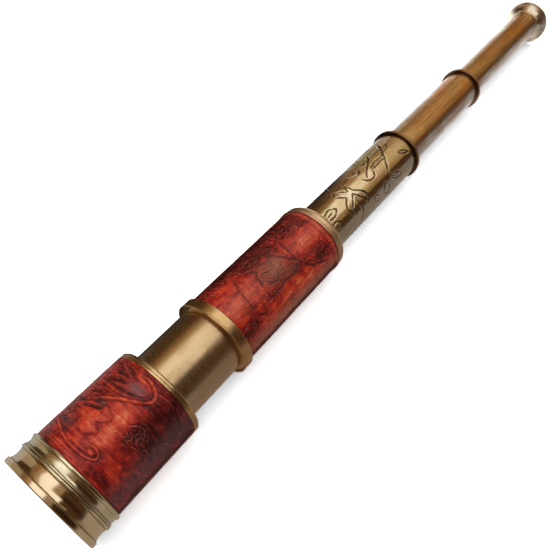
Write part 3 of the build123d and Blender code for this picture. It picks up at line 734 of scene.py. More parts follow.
PIECES = [
    # name, node, body, slot, outline, corner radius, material
    ("front_bezel", "objective_bezel", "barrel", "bezel_brass", bezel, 0.12, M_BEZEL),
    ("lens_cell_ring", "objective_cell", "barrel", "cell_brass", None, 0.08, M_CELL),
    ("stepped_front_ring", "barrel_front_ring", "barrel", "green_brass", None, 0.08, M_GREEN),
    ("barrel_end_collar", "barrel_rear_collar", "barrel", "antique_brass", None, 0.09, M_COLLAR),
    ("first_draw_tube", "draw_1_tube", "draw_1", "antique_brass", None, 0.10, M_ANTIQUE),
    ("first_draw_collar", "draw_1_collar", "draw_1", "antique_brass", col1, 0.08, M_COLLAR),
    ("first_draw_end_ring", "draw_1_rear_ring", "draw_1", "antique_brass", None, 0.09, M_ROSE),
    ("second_draw_collar", "draw_2_collar", "draw_2", "dark_brass", col2, 0.07, M_DARK),
    ("third_draw_tube", "draw_3_tube", "draw_3", "copper_brass", None, 0.08, M_COPPER),
    ("third_draw_collar", "draw_3_collar", "draw_3", "dark_brass", col3, 0.07, M_DARK),
    ("fourth_draw_tube", "draw_4_tube", "draw_4", "copper_brass", None, 0.08, M_COPPER),
    ("eyecup_flared", "eyecup", "draw_4", "green_brass", cup, 0.09, M_EYE),
]
for name, node, body, slot_name, loop, radius, mat in PIECES:
    finish(lathe(name, node, body, loop, radius), mat)

# CAD nodes that stay as they are, with a finish of their own.
for node in ("objective_retaining_ring", "erector_cell", "erector_retaining_rings", "field_lens_cell", "field_stop",
             "eye_lens_retaining_ring"):
    finish(NODES[node], M_BLACK)
for node in ("barrel_tube", "draw_1_stop_ring"):
    finish(NODES[node], M_ANTIQUE)
finish(NODES["draw_2_stop_ring"], M_OLIVE)
for node in ("draw_3_stop_ring", "draw_4_stop_ring"):
    finish(NODES[node], M_COPPER)
for node in ("objective_lens", "erector_lens_front", "erector_lens_rear", "field_lens", "eye_lens"):
    finish(NODES[node], M_GLASS)
for node, ob in NODES.items():
    if node in ("objective_lens", "erector_lens_front", "erector_lens_rear", "field_lens", "eye_lens",
                "objective_retaining_ring"):
        ob.data.shade_smooth()
        ob.data.set_sharp_from_angle(angle=math.radians(28))


# =====================================================================
# relief surfaces: embossed leather and the engraved tube
# =====================================================================
def spline(pts, R, step=0.12, closed=False):
    """Dense points (x, s) in mm on a smooth curve through (x, degrees) points; s is the arc on radius R."""
    P = np.array([(x, math.radians(t) * R) for x, t in pts], float)
    if closed:
        P = np.vstack([P[-1], P, P[0], P[1]])
    else:
        P = np.vstack([2 * P[0] - P[1], P, 2 * P[-1] - P[-2]])
    out = []
    for i in range(1, len(P) - 2):
        p0, p1, p2, p3 = P[i - 1:i + 3]
        m = max(2, int(np.linalg.norm(p2 - p1) / step))
        # centripetal spacing keeps tight bends round
        d = [max(np.linalg.norm(b - a), 1e-6) ** 0.5 for a, b in ((p0, p1), (p1, p2), (p2, p3))]
        t0, t1 = 0.0, d[0]
        t2, t3 = t1 + d[1], t1 + d[1] + d[2]
        t = np.linspace(t1, t2, m, endpoint=False)[:, None]
        a1 = (t1 - t) / (t1 - t0) * p0 + (t - t0) / (t1 - t0) * p1
        a2 = (t2 - t) / (t2 - t1) * p1 + (t - t1) / (t2 - t1) * p2
        a3 = (t3 - t) / (t3 - t2) * p2 + (t - t2) / (t3 - t2) * p3
        b1 = (t2 - t) / (t2 - t0) * a1 + (t - t0) / (t2 - t0) * a2
        b2 = (t3 - t) / (t3 - t1) * a2 + (t - t1) / (t3 - t1) * a3
        out.append((t2 - t) / (t2 - t1) * b1 + (t - t1) / (t2 - t1) * b2)
    out.append(P[-2][None])
    return np.vstack(out)


def bumpf(d, w):
    return np.clip(1 - (d / w) ** 2, 0, 1) ** 2


class Relief:
    """A height field in mm on an unrolled cylinder, with masks for its colours."""

    def __init__(self, x0, x1, R, dx, ds, seed):
        self.R, self.C = R, 2 * math.pi * R
        self.xs = np.linspace(x0, x1, int(round((x1 - x0) / dx)) + 1)
        self.nt = int(round(self.C / ds))
        self.ts = np.arange(self.nt) / self.nt * self.C
        self.shape = (len(self.xs), self.nt)
        self.h = np.zeros(self.shape)
        self.cut = np.zeros(self.shape)
        self.lift = np.zeros(self.shape)
        self.stain = np.zeros(self.shape)
        self.grey = np.zeros(self.shape)
        self.rng = np.random.default_rng(seed)

    def window(self, P, reach):
        ix = np.nonzero((self.xs >= P[:, 0].min() - reach) & (self.xs <= P[:, 0].max() + reach))[0]
        mid = (P[:, 1].min() + P[:, 1].max()) / 2
        half = (P[:, 1].max() - P[:, 1].min()) / 2 + reach
        ds = (self.ts - mid + self.C / 2) % self.C - self.C / 2
        it = np.nonzero(np.abs(ds) <= half)[0]
        if not len(ix) or not len(it):
            return None
        X, S = np.meshgrid(self.xs[ix], ds[it] + mid, indexing="ij")
        return np.ix_(ix, it), X, S

    def near(self, P, reach):
        """Window, distance to the curve, share of the way along it, and the side of the curve."""
        w = self.window(P, reach)
        if w is None:
            return None
        sel, X, S = w
        D = np.full(X.shape, 1e9)
        J = np.zeros(X.shape, int)
        m = len(P)
        for k in range(0, m, 40):
            Q = P[k:k + 40]
            d2 = (X[..., None] - Q[:, 0]) ** 2 + (S[..., None] - Q[:, 1]) ** 2
            j = d2.argmin(-1)
            best = np.take_along_axis(d2, j[..., None], -1)[..., 0]
            hit = best < D
            D[hit] = best[hit]
            J[hit] = k + j[hit]
        T = np.gradient(P, axis=0)
        side = np.sign(T[J, 0] * (S - P[J, 1]) - T[J, 1] * (X - P[J, 0]))
        return sel, X, S, np.sqrt(D), J / max(1, m - 1), side

    def hand(self, P, A):
        """Uneven pressure along a stroke: a width factor and a darkness factor."""
        L = len(P) * 0.12
        p = self.rng.uniform(0, 2 * math.pi, 3)
        w = 1 + 0.20 * np.sin(A * L * 0.9 + p[0]) + 0.12 * np.sin(A * L * 2.3 + p[1])
        return w, 0.82 + 0.18 * np.sin(A * L * 1.3 + p[2])

    def groove(self, pts, w=0.55, d=0.30, dark=1.0, taper=0.25, closed=False, side=0, shade=0.55):
        """A tooled line. With a side, the ground on that side is bevelled down to it and darkened with painted shade.
        """
        P = spline(pts, self.R, closed=closed)
        got = self.near(P, max(w * 2.6, 3.2 if side else 0))
        if got is None:
            return
        sel, X, S, D, A, sgn = got
        vw, vd = self.hand(P, A)
        tp = np.ones(A.shape) if closed or taper <= 0 else np.clip(np.minimum(A, 1 - A) / taper, 0.30, 1)
        ww = w * vw * tp
        g = np.exp(-(D / (0.62 * ww)) ** 2)
        if side:
            # painted shade on the bevelled ground, along with the bevel itself
            slope = np.exp(-D / 1.1) * (sgn * side > 0) * tp
            self.h[sel] -= 0.55 * d * slope
            self.stain[sel] -= shade * dark * slope
            self.h[sel] += 0.35 * d * np.exp(-D / 0.9) * (sgn * side < 0) * tp
        self.h[sel] -= d * g * np.clip(tp * 1.2, 0, 1)
        self.cut[sel] = np.maximum(self.cut[sel], dark * vd * g)
        # the tool pushes a small welt up beside the line
        welt = np.exp(-((D - 1.30 * ww) / (0.55 * ww)) ** 2) * tp
        self.h[sel] += 0.20 * d * welt
        self.lift[sel] = np.maximum(self.lift[sel], 0.45 * welt * dark)

    def rib(self, pts, w=1.3, hh=0.28, gw=0.40, gd=0.26, taper=0.2, dark=1.0, closed=False):
        """A raised band between two tooled lines."""
        P = spline(pts, self.R, closed=closed)
        got = self.near(P, w + 4 * gw)
        if got is None:
            return
        sel, X, S, D, A, sgn = got
        vw, vd = self.hand(P, A)
        tp = np.ones(A.shape) if closed else np.clip(np.minimum(A, 1 - A) / taper, 0.25, 1)
        ww = (w / 2) * (0.5 + 0.5 * vw) * tp
        top = 0.5 + 0.5 * np.cos(math.pi * np.clip(D / (ww * 1.25), 0, 1))
        line = np.exp(-((D - ww - 0.55 * gw) / (0.75 * gw)) ** 2) * np.where(D < ww * 0.35, 0, 1)
        self.h[sel] += hh * top * np.clip(tp * 1.2, 0, 1) - gd * line * tp
        keep = np.clip(top * 1.5, 0, 1)
        self.cut[sel] = np.maximum(self.cut[sel] * (1 - keep), dark * vd * line * np.clip(tp * 1.3, 0, 1))
        self.lift[sel] = np.maximum(self.lift[sel], top * 0.95)
        self.stain[sel] += 0.25 * top

    def inside(self, P, X, S):
        ins = np.zeros(X.shape, bool)
        Q = np.roll(P, -1, 0)
        for (ax, ay), (bx, by) in zip(P, Q):
            if ay == by:
                continue
            c = ((ay > S) != (by > S)) & (X < (bx - ax) * (S - ay) / (by - ay) + ax)
            ins ^= c
        return ins

    def pillow(self, pts, hh=0.32, bevel=1.2, w=0.5, d=0.32, dark=1.0, stain=0.0, grey=0.0, press=0.12, fade=None):
        """A closed shape raised inside a tooled outline, with the ground pressed down around it and darkened next to it
        with painted shade.
        fade=(a, b): the outline dies away between b and a degrees."""
        P = spline(pts, self.R, closed=True)
        reach = 3.0
        got = self.near(P, reach)
        if got is None:
            return
        sel, X, S, D, A, sgn = got
        vw, vd = self.hand(P, A)
        ins = self.inside(P[::2], X, S)
        k = 1.0
        if fade:
            k = np.clip((np.degrees(S / self.R) - fade[0]) / (fade[1] - fade[0]), 0, 1)
        rise = np.clip(D / bevel, 0, 1)
        rise = rise * rise * (3 - 2 * rise)
        self.h[sel] += np.where(ins, hh * rise, -press * k * bumpf(D, reach * 0.8))
        g = np.exp(-(D / (0.62 * w * vw)) ** 2) * k
        self.h[sel] -= d * g
        self.cut[sel] = np.maximum(self.cut[sel] * np.where(ins, 1 - 0.8 * rise, 1), dark * vd * g)
        rim = np.exp(-((D - 0.85) / 0.45) ** 2)
        self.lift[sel] = np.maximum(self.lift[sel], np.where(ins, 0.35 * rise + 0.45 * rim * k, 0.25 * rim * k))
        # outside the outline the ground gets painted shade
        self.stain[sel] += np.where(ins, stain * rise, -0.45 * k * np.exp(-D / 1.1))
        self.grey[sel] += np.where(ins, grey * rise, 0)

    def blotch(self, x, t, rx, rt, amount, grey=0.0, dent=0.0):
        """A soft patch of darker (-) or brighter (+) colour: dye, and at the marked calls painted sheen and painted
        shade; rt is in degrees.
        """
        s0 = math.radians(t) * self.R
        ds = (self.ts - s0 + self.C / 2) % self.C - self.C / 2
        e = np.exp(-((self.xs[:, None] - x) / rx) ** 2 - (ds[None] / (math.radians(rt) * self.R)) ** 2)
        self.stain += amount * e
        self.grey += grey * e
        self.h += dent * e

    def waves(self, amp, lmin, lmax, count, stretch=1.0):
        """Smooth random height, periodic round the cylinder."""
        out = np.zeros(self.shape)
        for _ in range(count):
            lam = math.exp(self.rng.uniform(math.log(lmin), math.log(lmax)))
            ang = self.rng.uniform(0, 2 * math.pi)
            k = 2 * math.pi / lam
            kt = round(k * math.sin(ang) * stretch * self.R) / self.R
            kx = k * math.cos(ang)
            ph = self.rng.uniform(0, 2 * math.pi)
            out += np.sin(kx * self.xs[:, None] + kt * self.ts[None] + ph)
        return amp * out / math.sqrt(count)

    def blur(self, a, sig):
        """Gaussian blur, sig in mm; the ends are held and the way round wraps."""
        dx, ds = self.xs[1] - self.xs[0], self.ts[1]
        m = int(3 * sig / dx) + 2
        p = np.pad(a, ((m, m), (0, 0)), mode="edge")
        fx = np.fft.fftfreq(p.shape[0], dx)[:, None]
        ft = np.fft.fftfreq(p.shape[1], ds)[None]
        return np.real(np.fft.ifft2(np.fft.fft2(p) * np.exp(-2 * (math.pi * sig) ** 2 * (fx ** 2 + ft ** 2))))[m:-m]

    def field(self, lmin, lmax, count, wx=0.0, wt=0.0, squash=1.0):
        """Unit random waves, read at places pushed aside by wx and wt (mm)."""
        X = self.xs[:, None] + wx
        S = self.ts[None] + wt
        out = np.zeros(self.shape)
        for _ in range(count):
            lam = math.exp(self.rng.uniform(math.log(lmin), math.log(lmax)))
            ang = self.rng.uniform(0, 2 * math.pi)
            k = 2 * math.pi / lam
            kt = round(k * math.sin(ang) * self.R) / self.R
            out += np.sin(k * math.cos(ang) * squash * X + kt * S + self.rng.uniform(0, 2 * math.pi))
        return out * math.sqrt(2.0 / count)

    def zone(self, spots):
        """Soft mask, 0 to 1, from patches (x, degrees, half length, half degrees, strength)."""
        m = np.zeros(self.shape)
        for x, t, rx, rt, a in spots:
            s0 = math.radians(t) * self.R
            ds = (self.ts - s0 + self.C / 2) % self.C - self.C / 2
            m += a * np.exp(-((self.xs[:, None] - x) / rx) ** 4 - (ds[None] / (math.radians(rt) * self.R)) ** 4)
        return np.clip(m, 0, 1)

    def crease(self, mask, lmin, lmax, wide, depth, dark, warp=1.6, fold=0.06, squash=1.0, gaps=0.0):
        """Fine wandering folds, as tooled and crumpled leather has between its larger figures."""
        wx = warp * self.field(lmin * 2.2, lmax * 2.2, 10)
        wt = warp * self.field(lmin * 2.2, lmax * 2.2, 10)
        f = self.field(lmin, lmax, 18, wx, wt, squash)
        some = np.clip(0.5 + 1.1 * (self.field(lmax, lmax * 3, 12) - gaps), 0, 1)
        line = np.exp(-(f / wide) ** 2) * mask * some
        self.h += mask * fold * np.tanh(1.3 * f)
        self.h -= depth * line
        self.cut = np.maximum(self.cut, dark * line)
        self.lift = np.maximum(self.lift, 0.5 * mask * np.clip(f - 0.9, 0, 1))
        self.stain += 0.22 * mask * np.tanh(f)

    def settle(self, near=0.8, wide=2.0, a=1.1, b=0.9):
        """Painted shade spreads out of the cuts on to the ground beside them, and less on to raised work."""
        up = np.clip(self.lift, 0, 1)
        self.stain -= (a * self.blur(self.cut, near) + b * self.blur(self.cut, wide)) * (1 - 0.55 * up)
        self.stain += 0.35 * self.blur(up, 0.5)

    def fibres(self, along, amp, pitch, x0, x1, t0, t1, count):
        """Fine scored lines along the axis ('x') or round it ('t') inside a patch given in mm and degrees."""
        for _ in range(count):
            if along == "t":
                x = self.rng.uniform(x0, x1)
                a = self.rng.uniform(t0, t1)
                ln = self.rng.uniform(0.25, 0.75) * (t1 - t0)
                b = min(t1, a + ln)
                pts = [(x, a), (x + self.rng.normal(0, 0.15), (a + b) / 2), (x + self.rng.normal(0, 0.2), b)]
            else:
                t = self.rng.uniform(t0, t1)
                a = self.rng.uniform(x0, x1)
                ln = self.rng.uniform(0.25, 0.75) * (x1 - x0)
                b = min(x1, a + ln)
                pts = [(a, t), ((a + b) / 2, t + self.rng.normal(0, 0.5)), (b, t + self.rng.normal(0, 0.7))]
            if math.hypot(pts[0][0] - pts[-1][0], math.radians(pts[0][1] - pts[-1][1]) * self.R) < 1.0:
                continue
            self.groove(pts, w=pitch, d=amp, dark=self.rng.uniform(0.20, 0.55), taper=0.3)

    def shell(self, name, node, body, inner_r, lo, hi, end=0.35):
        """A closed shell: the relief outside, a plain bore inside, rounded at both ends."""
        h = np.clip(self.h, lo, hi)
        e = np.minimum(self.xs - self.xs[0], self.xs[-1] - self.xs)[:, None]
        roll = 1 - np.sqrt(np.clip(1 - (1 - np.clip(e / end, 0, 1)) ** 2, 0, 1))
        rad = self.R + h - roll * (self.R + h - inner_r) * 0.55
        t = self.ts / self.R
        V = np.zeros((len(self.xs), self.nt, 3))
        V[..., 0] = self.xs[:, None]
        V[..., 1] = rad * np.cos(t)[None]
        V[..., 2] = rad * np.sin(t)[None]
        bore_x = np.array([self.xs[-1], self.xs[0]])
        B = np.zeros((2, self.nt, 3))
        B[..., 0] = bore_x[:, None]
        B[..., 1] = inner_r * np.cos(t)[None]
        B[..., 2] = inner_r * np.sin(t)[None]
        me = grid_mesh(name, np.concatenate([V, B]) * MM, True, True)

        def full(a, fill):
            return np.concatenate([a, np.full((2, self.nt), fill)]).reshape(-1)

        put_attr(me, "cut", full(np.clip(self.cut, 0, 1), 1.0))
        put_attr(me, "lift", full(np.clip(self.lift, 0, 1), 0.0))
        put_attr(me, "stain", full(np.clip(self.stain, -1.5, 1.5), -1.0))
        put_attr(me, "grey", full(np.clip(self.grey, 0, 1), 0.0))
        put_attr(me, "wear", full(np.zeros(self.shape), -1.0))
        me.polygons.foreach_set("use_smooth", np.ones(len(me.polygons), bool))
        outward(me)
        ob = link_object(name, me)
        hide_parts(node)
        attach(ob, body)
        return ob


def seam(rel, t_edge, tall, lean):
    """The overlapped, glued edge of a leather cover: the upper layer rises to a ragged cut edge and drops, with painted
    shadow beyond the edge.
    """
    n = len(rel.xs)
    wob = np.zeros(n)
    for lam, amp in ((31.0, 0.5), (11.0, 0.28), (4.3, 0.16), (1.7, 0.08)):
        wob += amp * np.sin(2 * math.pi * rel.xs / lam + rel.rng.uniform(0, 6.3))
    s0 = math.radians(t_edge) * rel.R
    ds = (rel.ts[None] - (s0 + wob[:, None]) + rel.C / 2) % rel.C - rel.C / 2
    rise = np.clip(1 + ds / lean, 0, 1)
    up = np.where(ds <= 0, rise * rise * (3 - 2 * rise), np.clip(1 - ds / 0.30, 0, 1))
    lump = 1 + 0.35 * np.sin(2 * math.pi * rel.xs / 9.1 + 1.0) * np.sin(2 * math.pi * rel.xs / 3.7)
    rel.h += tall * up * lump[:, None]
    # beyond the cut edge lies the lower layer, sunk; the edge line and the lower layer are darkened with painted shadow
    rag = 1 + 0.16 * np.sin(2 * math.pi * rel.xs / 13.3 + 2.0)[:, None] + 0.09 * np.sin(2 * math.pi * rel.xs / 4.7 + 0.6)[:, None]
    low = np.where(ds > 0, np.exp(-(np.clip(ds, 0, None) / (5.4 * rag)) ** 2.4), 0.0)
    rel.h -= 0.26 * low
    rel.h -= 0.16 * bumpf(ds - 0.55, 0.5)
    rel.cut = np.maximum(rel.cut, 0.94 * low)
    rel.cut = np.maximum(rel.cut, 0.90 * np.exp(-(ds / 0.9) ** 2))
    rel.stain -= 1.0 * np.exp(-(ds / 2.4) ** 2)
    rel.lift = rel.lift * (1 - low)
    return s0


def curl(cx, ct, R, r0, r1, turns, start, flip=1):
    """A spiral as (x, degrees) points."""
    out = []
    k = max(6, int(abs(turns) * 9))
    for i in range(k + 1):
        a = math.radians(start) + flip * turns * 2 * math.pi * i / k
        r = r0 + (r1 - r0) * i / k
        out.append((cx + r * math.cos(a), ct + math.degrees(r * math.sin(a) / R)))
    return out


# ---- first leather cover ------------------------------------------------
LX0, LX1, _ = span("barrel_leather")
R_L1 = 24.0
lea = Relief(LX0, LX1, R_L1, 0.27, 0.30, 11)
lea.h += lea.waves(0.035, 9, 40, 14) + lea.waves(0.016, 1.6, 6, 26)
lea.stain += 0.12 + lea.waves(0.20, 7, 26, 16) + lea.waves(0.12, 2.5, 7, 18, 1.0)


def ornament_1(rel, dt):
    """The scrollwork on the side that is seen drawn out; dt turns it round the barrel."""
    T = lambda pts: [(x, t + dt) for x, t in pts]
    rib = lambda pts, *a, **k: rel.rib(T(pts), *a, **k)
    cut = lambda pts, *a, **k: rel.groove(T(pts), *a, **k)
    # long scroll by the front ring, curled round a bulb
    rib([(18.7, 46), (18.6, 60), (18.4, 75), (18.3, 90), (18.6, 105)], 0.8, 0.13, 0.36, 0.14, dark=0.45)
    rib([(17.2, 52), (17.1, 70), (17.0, 90), (17.3, 110)], 0.7, 0.10, 0.34, 0.12, dark=0.40)
    rib([(25.6, 38), (24.8, 46), (23.6, 56), (22.3, 66), (20.9, 76), (20.2, 86), (19.9, 96), (20.1, 105), (20.9, 112.5),
         (22.2, 117.6), (23.8, 117.3), (24.9, 111.5), (24.8, 105.5), (23.7, 102.4), (22.7, 102.8)], 1.15, 0.28, 0.46, 0.30, taper=0.10, dark=0.75)
    rel.pillow(T([(21.8, 108.5), (22.1, 113), (23.0, 114.6), (23.8, 112), (23.9, 107.6), (23.2, 105.2), (22.3, 105.4)]), hh=0.34, bevel=0.9,
               w=0.55, d=0.26, dark=0.6, stain=0.25)
    # lobed leaf
    rel.pillow(T([(31.5, 62), (29.3, 71), (27.2, 79), (25.8, 86), (26.2, 92), (28.0, 97.5), (29.7, 101), (30.9, 96.5), (32.1, 91.8),
                  (33.4, 96), (35.2, 101), (37.0, 101), (38.4, 95.5), (39.6, 87.5), (38.9, 84.6), (37.4, 85.5), (36.2, 80), (35.0, 73),
                  (33.6, 65)]),
               hh=0.34, bevel=2.2, w=0.62, d=0.30, dark=0.62, stain=0.26, press=0.14, fade=(68, 84))
    cut([(32.2, 68), (31.6, 77), (31.8, 86)], w=0.40, d=0.12, dark=0.35)
    cut([(29.8, 74), (28.4, 82), (28.6, 90)], w=0.40, d=0.12, dark=0.35)
    cut([(34.0, 78), (35.2, 87), (36.2, 95)], w=0.40, d=0.12, dark=0.35)
    cut([(33.9, 62), (35.2, 71), (36.2, 78.5), (37.2, 84), (38.5, 86.6)], w=1.0, d=0.36, dark=1.0, side=-1)
    rib([(33.4, 48), (34.6, 57), (36.1, 66), (37.3, 74), (37.9, 80)], 1.0, 0.24, 0.40, 0.24, dark=0.7)
    # big scroll by the rear collar
    rib([(43.2, 48), (43.8, 60), (44.8, 70), (45.5, 79)], 0.95, 0.20, 0.38, 0.22, dark=0.6)
    cut([(40.0, 48), (41.4, 60), (43.0, 70), (44.6, 81)], w=0.75, d=0.28, dark=0.85, side=1)
    rib([(37.4, 60), (38.8, 68), (40.6, 75), (42.4, 82), (44.6, 91), (46.9, 101), (49.0, 109.5), (51.0, 115.6), (53.0, 118),
         (55.0, 116.6), (56.8, 111), (57.9, 103), (58.1, 95), (57.5, 87)], 1.7, 0.36, 0.46, 0.32, taper=0.12, dark=0.80)
    rib([(47.4, 52), (46.9, 63), (46.4, 74), (46.4, 84), (47.4, 94)], 1.1, 0.25, 0.40, 0.26, dark=0.75)
    cut([(48.3, 58), (48.1, 74), (48.4, 88), (49.4, 99), (51.2, 107.6), (53.0, 110.6), (54.7, 108)], w=0.80, d=0.34, dark=0.95, side=1)
    rib([(54.5, 110), (55.7, 106), (56.3, 99), (55.8, 92)], 1.2, 0.26, 0.38, 0.22, dark=0.6)
    rib([(50.0, 56), (51.6, 65), (52.6, 74), (52.1, 84)], 1.15, 0.25, 0.40, 0.26, dark=0.8)
    rib([(57.8, 60), (56.5, 69), (55.0, 78), (54.3, 86)], 1.25, 0.27, 0.40, 0.28, dark=0.8)
    cut([(48.8, 62), (49.8, 71), (50.8, 80), (51.0, 87)], w=1.0, d=0.34, dark=1.0, side=-1)
    cut([(53.6, 58), (53.8, 67), (53.2, 76)], w=0.85, d=0.30, dark=0.95)
    cut([(58.4, 66), (57.6, 75), (56.3, 83), (55.4, 89)], w=0.80, d=0.30, dark=0.9)
    cut([(36.8, 44), (36.2, 54), (36.9, 63)], w=0.95, d=0.30, dark=0.9, side=1)
    cut([(30.8, 42), (29.9, 52), (30.4, 61)], w=0.7, d=0.24, dark=0.7, side=1)
    cut([(27.8, 42), (26.9, 53), (27.5, 63)], w=0.7, d=0.24, dark=0.7)
    rib([(56.0, 114), (56.9, 123), (57.2, 132), (56.6, 141)], 0.9, 0.20, 0.38, 0.22, dark=0.6)
    # crumpled rosette
    rel.blotch(39.3, 133, 4.4, 12.5, -0.95, dent=-0.16)
    for pts, w in (([(36.2, 139.5), (36.9, 135.2), (38.3, 133.2), (39.6, 135.2), (40.3, 139)], 0.95),
                   ([(40.6, 138), (41.7, 134.5), (42.7, 131), (42.4, 127)], 0.85), ([(39.2, 118), (40.8, 121.4), (42.0, 125.4), (42.3, 129)], 1.0),
                   ([(34.8, 119.5), (35.6, 122.8), (36.9, 122.4), (37.2, 119.4)], 0.75), ([(34.9, 126.4), (36.4, 129), (37.9, 127.2), (38.1, 123.6)], 0.75),
                   ([(38.9, 127.2), (39.8, 129.7), (41.1, 128.6)], 0.7), ([(34.5, 132), (34.9, 136.5), (35.6, 141)], 0.8),
                   ([(36.9, 144), (38.0, 148.4), (37.3, 154)], 1.0), ([(39.8, 143), (41.3, 141.6), (42.8, 138.4)], 0.75),
                   ([(43.6, 124), (44.4, 129), (43.9, 134)], 0.7)):
        rib(pts, w, 0.28, 0.40, 0.26, dark=1.0)
    cut([(38.2, 130.8), (39.8, 132.2), (41.5, 130.6)], w=0.55, d=0.26)
    cut([(36.0, 132.2), (37.4, 131.0), (38.2, 129.6)], w=0.55, d=0.26)
    cut([(33.6, 121), (33.8, 127), (33.2, 133)], w=0.6, d=0.22, dark=0.9)
    cut([(36.2, 140.5), (38.4, 137.2), (40.2, 141.6)], w=0.6, d=0.26)
    # faint tooling low on the side
    cut([(28.3, 150), (28.7, 160), (28.1, 168), (27.2, 176)], w=0.8, d=0.20, dark=0.6)
    rib([(44.4, 157), (46.0, 162), (47.5, 168), (46.8, 176)], 0.9, 0.16, 0.38, 0.18, dark=0.5)
    cut([(50.8, 152), (51.6, 160), (50.6, 169)], w=0.7, d=0.20, dark=0.6)
    cut([(21.4, 150), (22.6, 160), (21.4, 170)], w=0.7, d=0.18, dark=0.5)
    cut([(35.4, 160), (37.4, 165), (36.6, 173)], w=0.7, d=0.18, dark=0.55)
    # dye, with painted sheen and painted shade where marked
    rel.blotch(26, 67, 3.4, 9, -0.85, grey=0.30, dent=-0.10)
    rel.blotch(39.4, 78.5, 1.8, 7.5, -0.80, grey=0.25, dent=-0.10)
    rel.blotch(52.1, 97.5, 2.3, 10.5, -0.35, grey=0.75, dent=-0.20)
    # painted sheen: brighter patches in the highlight band near 107 degrees
    rel.blotch(31, 107, 9, 9.5, 0.90)
    rel.blotch(42, 107, 5, 9.5, 0.78)
    rel.blotch(23, 92, 1.6, 8, 0.35)
    rel.blotch(31.5, 84, 5, 9, 0.24)
    rel.blotch(53, 142, 9, 19, -1.70)
    rel.blotch(26, 134, 6, 11, -0.32)
    rel.blotch(39, 150, 6, 9, -0.9)
    rel.blotch(18, 131, 2.6, 15, -0.7)
    rel.blotch(52, 70, 8, 11, -0.30)
    # painted shade: darker and greyer along the whole low side
    rel.blotch(38, 164, 40, 14, -0.85, grey=0.40)
    # darker and greyer along the whole upper side
    rel.blotch(38, 44, 40, 13, -0.25, grey=0.30)


def ornament_1b(rel, dt):
    """The other side of the first cover: flowing scrolls; dt turns it round the barrel."""
    T = lambda pts: [(x + 4.0, t + dt) for x, t in pts]
    rel.rib(T([(20.3, 128), (20.5, 120), (21.5, 105), (21, 90), (19, 78), (16.5, 71), (13.8, 73), (12.8, 82), (14.2, 90), (16.2, 90)]),
            w=1.3, hh=0.28, gw=0.42, gd=0.30)
    rel.pillow(T([(14.2, 82), (15.0, 85.5), (16.6, 85), (17.2, 81), (16.2, 77.5), (14.8, 78.2)]), hh=-0.10, bevel=1.0, w=0.42, d=0.26, stain=-0.8)
    rel.pillow(T([(13.2, 122), (14.0, 133), (16.4, 138), (18.0, 130), (18.2, 118), (16.8, 108), (14.6, 111)]), hh=0.36, bevel=1.6, w=0.5, d=0.32,
               stain=0.8)
    rel.rib(T([(24.0, 88), (24.5, 98), (25.5, 110), (28, 119), (30.2, 120.5), (31.0, 115), (29.8, 110)]), w=1.2, hh=0.28, gw=0.4, gd=0.3)
    rel.pillow(T([(29.6, 97), (30.4, 102.5), (32.0, 105), (33.4, 100), (33.2, 93), (31.4, 89.5), (30.0, 92)]), hh=0.40, bevel=1.4, w=0.5, d=0.34, stain=0.5)
    rel.pillow(T([(26.0, 72), (26.8, 75.2), (28.2, 74.4), (28.6, 70.5), (27.4, 68.6), (26.2, 69.6)]), hh=0.26, bevel=0.9, w=0.4, d=0.26, stain=0.3)
    rel.rib(T([(30.4, 126), (31.5, 134), (33.5, 138.5), (35.6, 134), (36.0, 126)]), w=1.3, hh=0.3, gw=0.4, gd=0.3)
    rel.pillow(T([(35.2, 96), (34.8, 104), (36.2, 111), (38.4, 112.5), (39.2, 106), (38.0, 101), (38.8, 95), (37.2, 91)]), hh=0.36, bevel=1.4, w=0.5,
               d=0.32, stain=0.6)
    rel.groove(T([(38.5, 170), (39.5, 152), (40.5, 136), (41.0, 128)]), w=0.55, d=0.30)
    rel.groove(T([(40.2, 124), (42.4, 116), (45.0, 107), (46.8, 98)]), w=0.55, d=0.30)
    rel.rib(T([(43.6, 150), (46.2, 138), (48.8, 128), (51.4, 124), (53.2, 130), (51.8, 138)]), w=1.4, hh=0.3, gw=0.42, gd=0.3)
    rel.groove(T([(46.4, 92), (48.6, 80), (51.6, 72), (54.0, 76), (53.6, 84)]), w=0.55, d=0.30)
    rel.groove(T([(22.4, 62), (27.0, 58), (33.0, 62), (37.4, 72), (39.0, 84)]), w=0.55, d=0.28)
    rel.groove(T([(13.0, 104), (14.4, 98), (17.6, 96), (19.0, 102)]), w=0.45, d=0.24)
    rel.groove(T([(22.5, 150), (24.2, 141), (26.2, 134), (28.0, 130)]), w=0.5, d=0.26)
    rel.groove(T([(14.5, 158), (18.6, 150), (21.0, 140)]), w=0.5, d=0.24)
    rel.groove(T([(28.0, 164), (31.0, 154), (34.0, 150), (36.4, 156)]), w=0.5, d=0.24)
    for x, t, rx, rt, a in ((22, 112, 6, 12, 0.5), (34, 82, 6, 10, -0.7), (42, 140, 6, 12, 0.5), (48, 104, 5, 12, 0.3), (28, 138, 4, 8, -0.6),
                            (18, 98, 3, 7, -0.5), (51, 86, 4, 8, -0.5), (38, 120, 5, 8, 0.45)):
        rel.blotch(x, t + dt, rx, rt, a)


ornament_1(lea, 0.0)
ornament_1b(lea, 172.0)
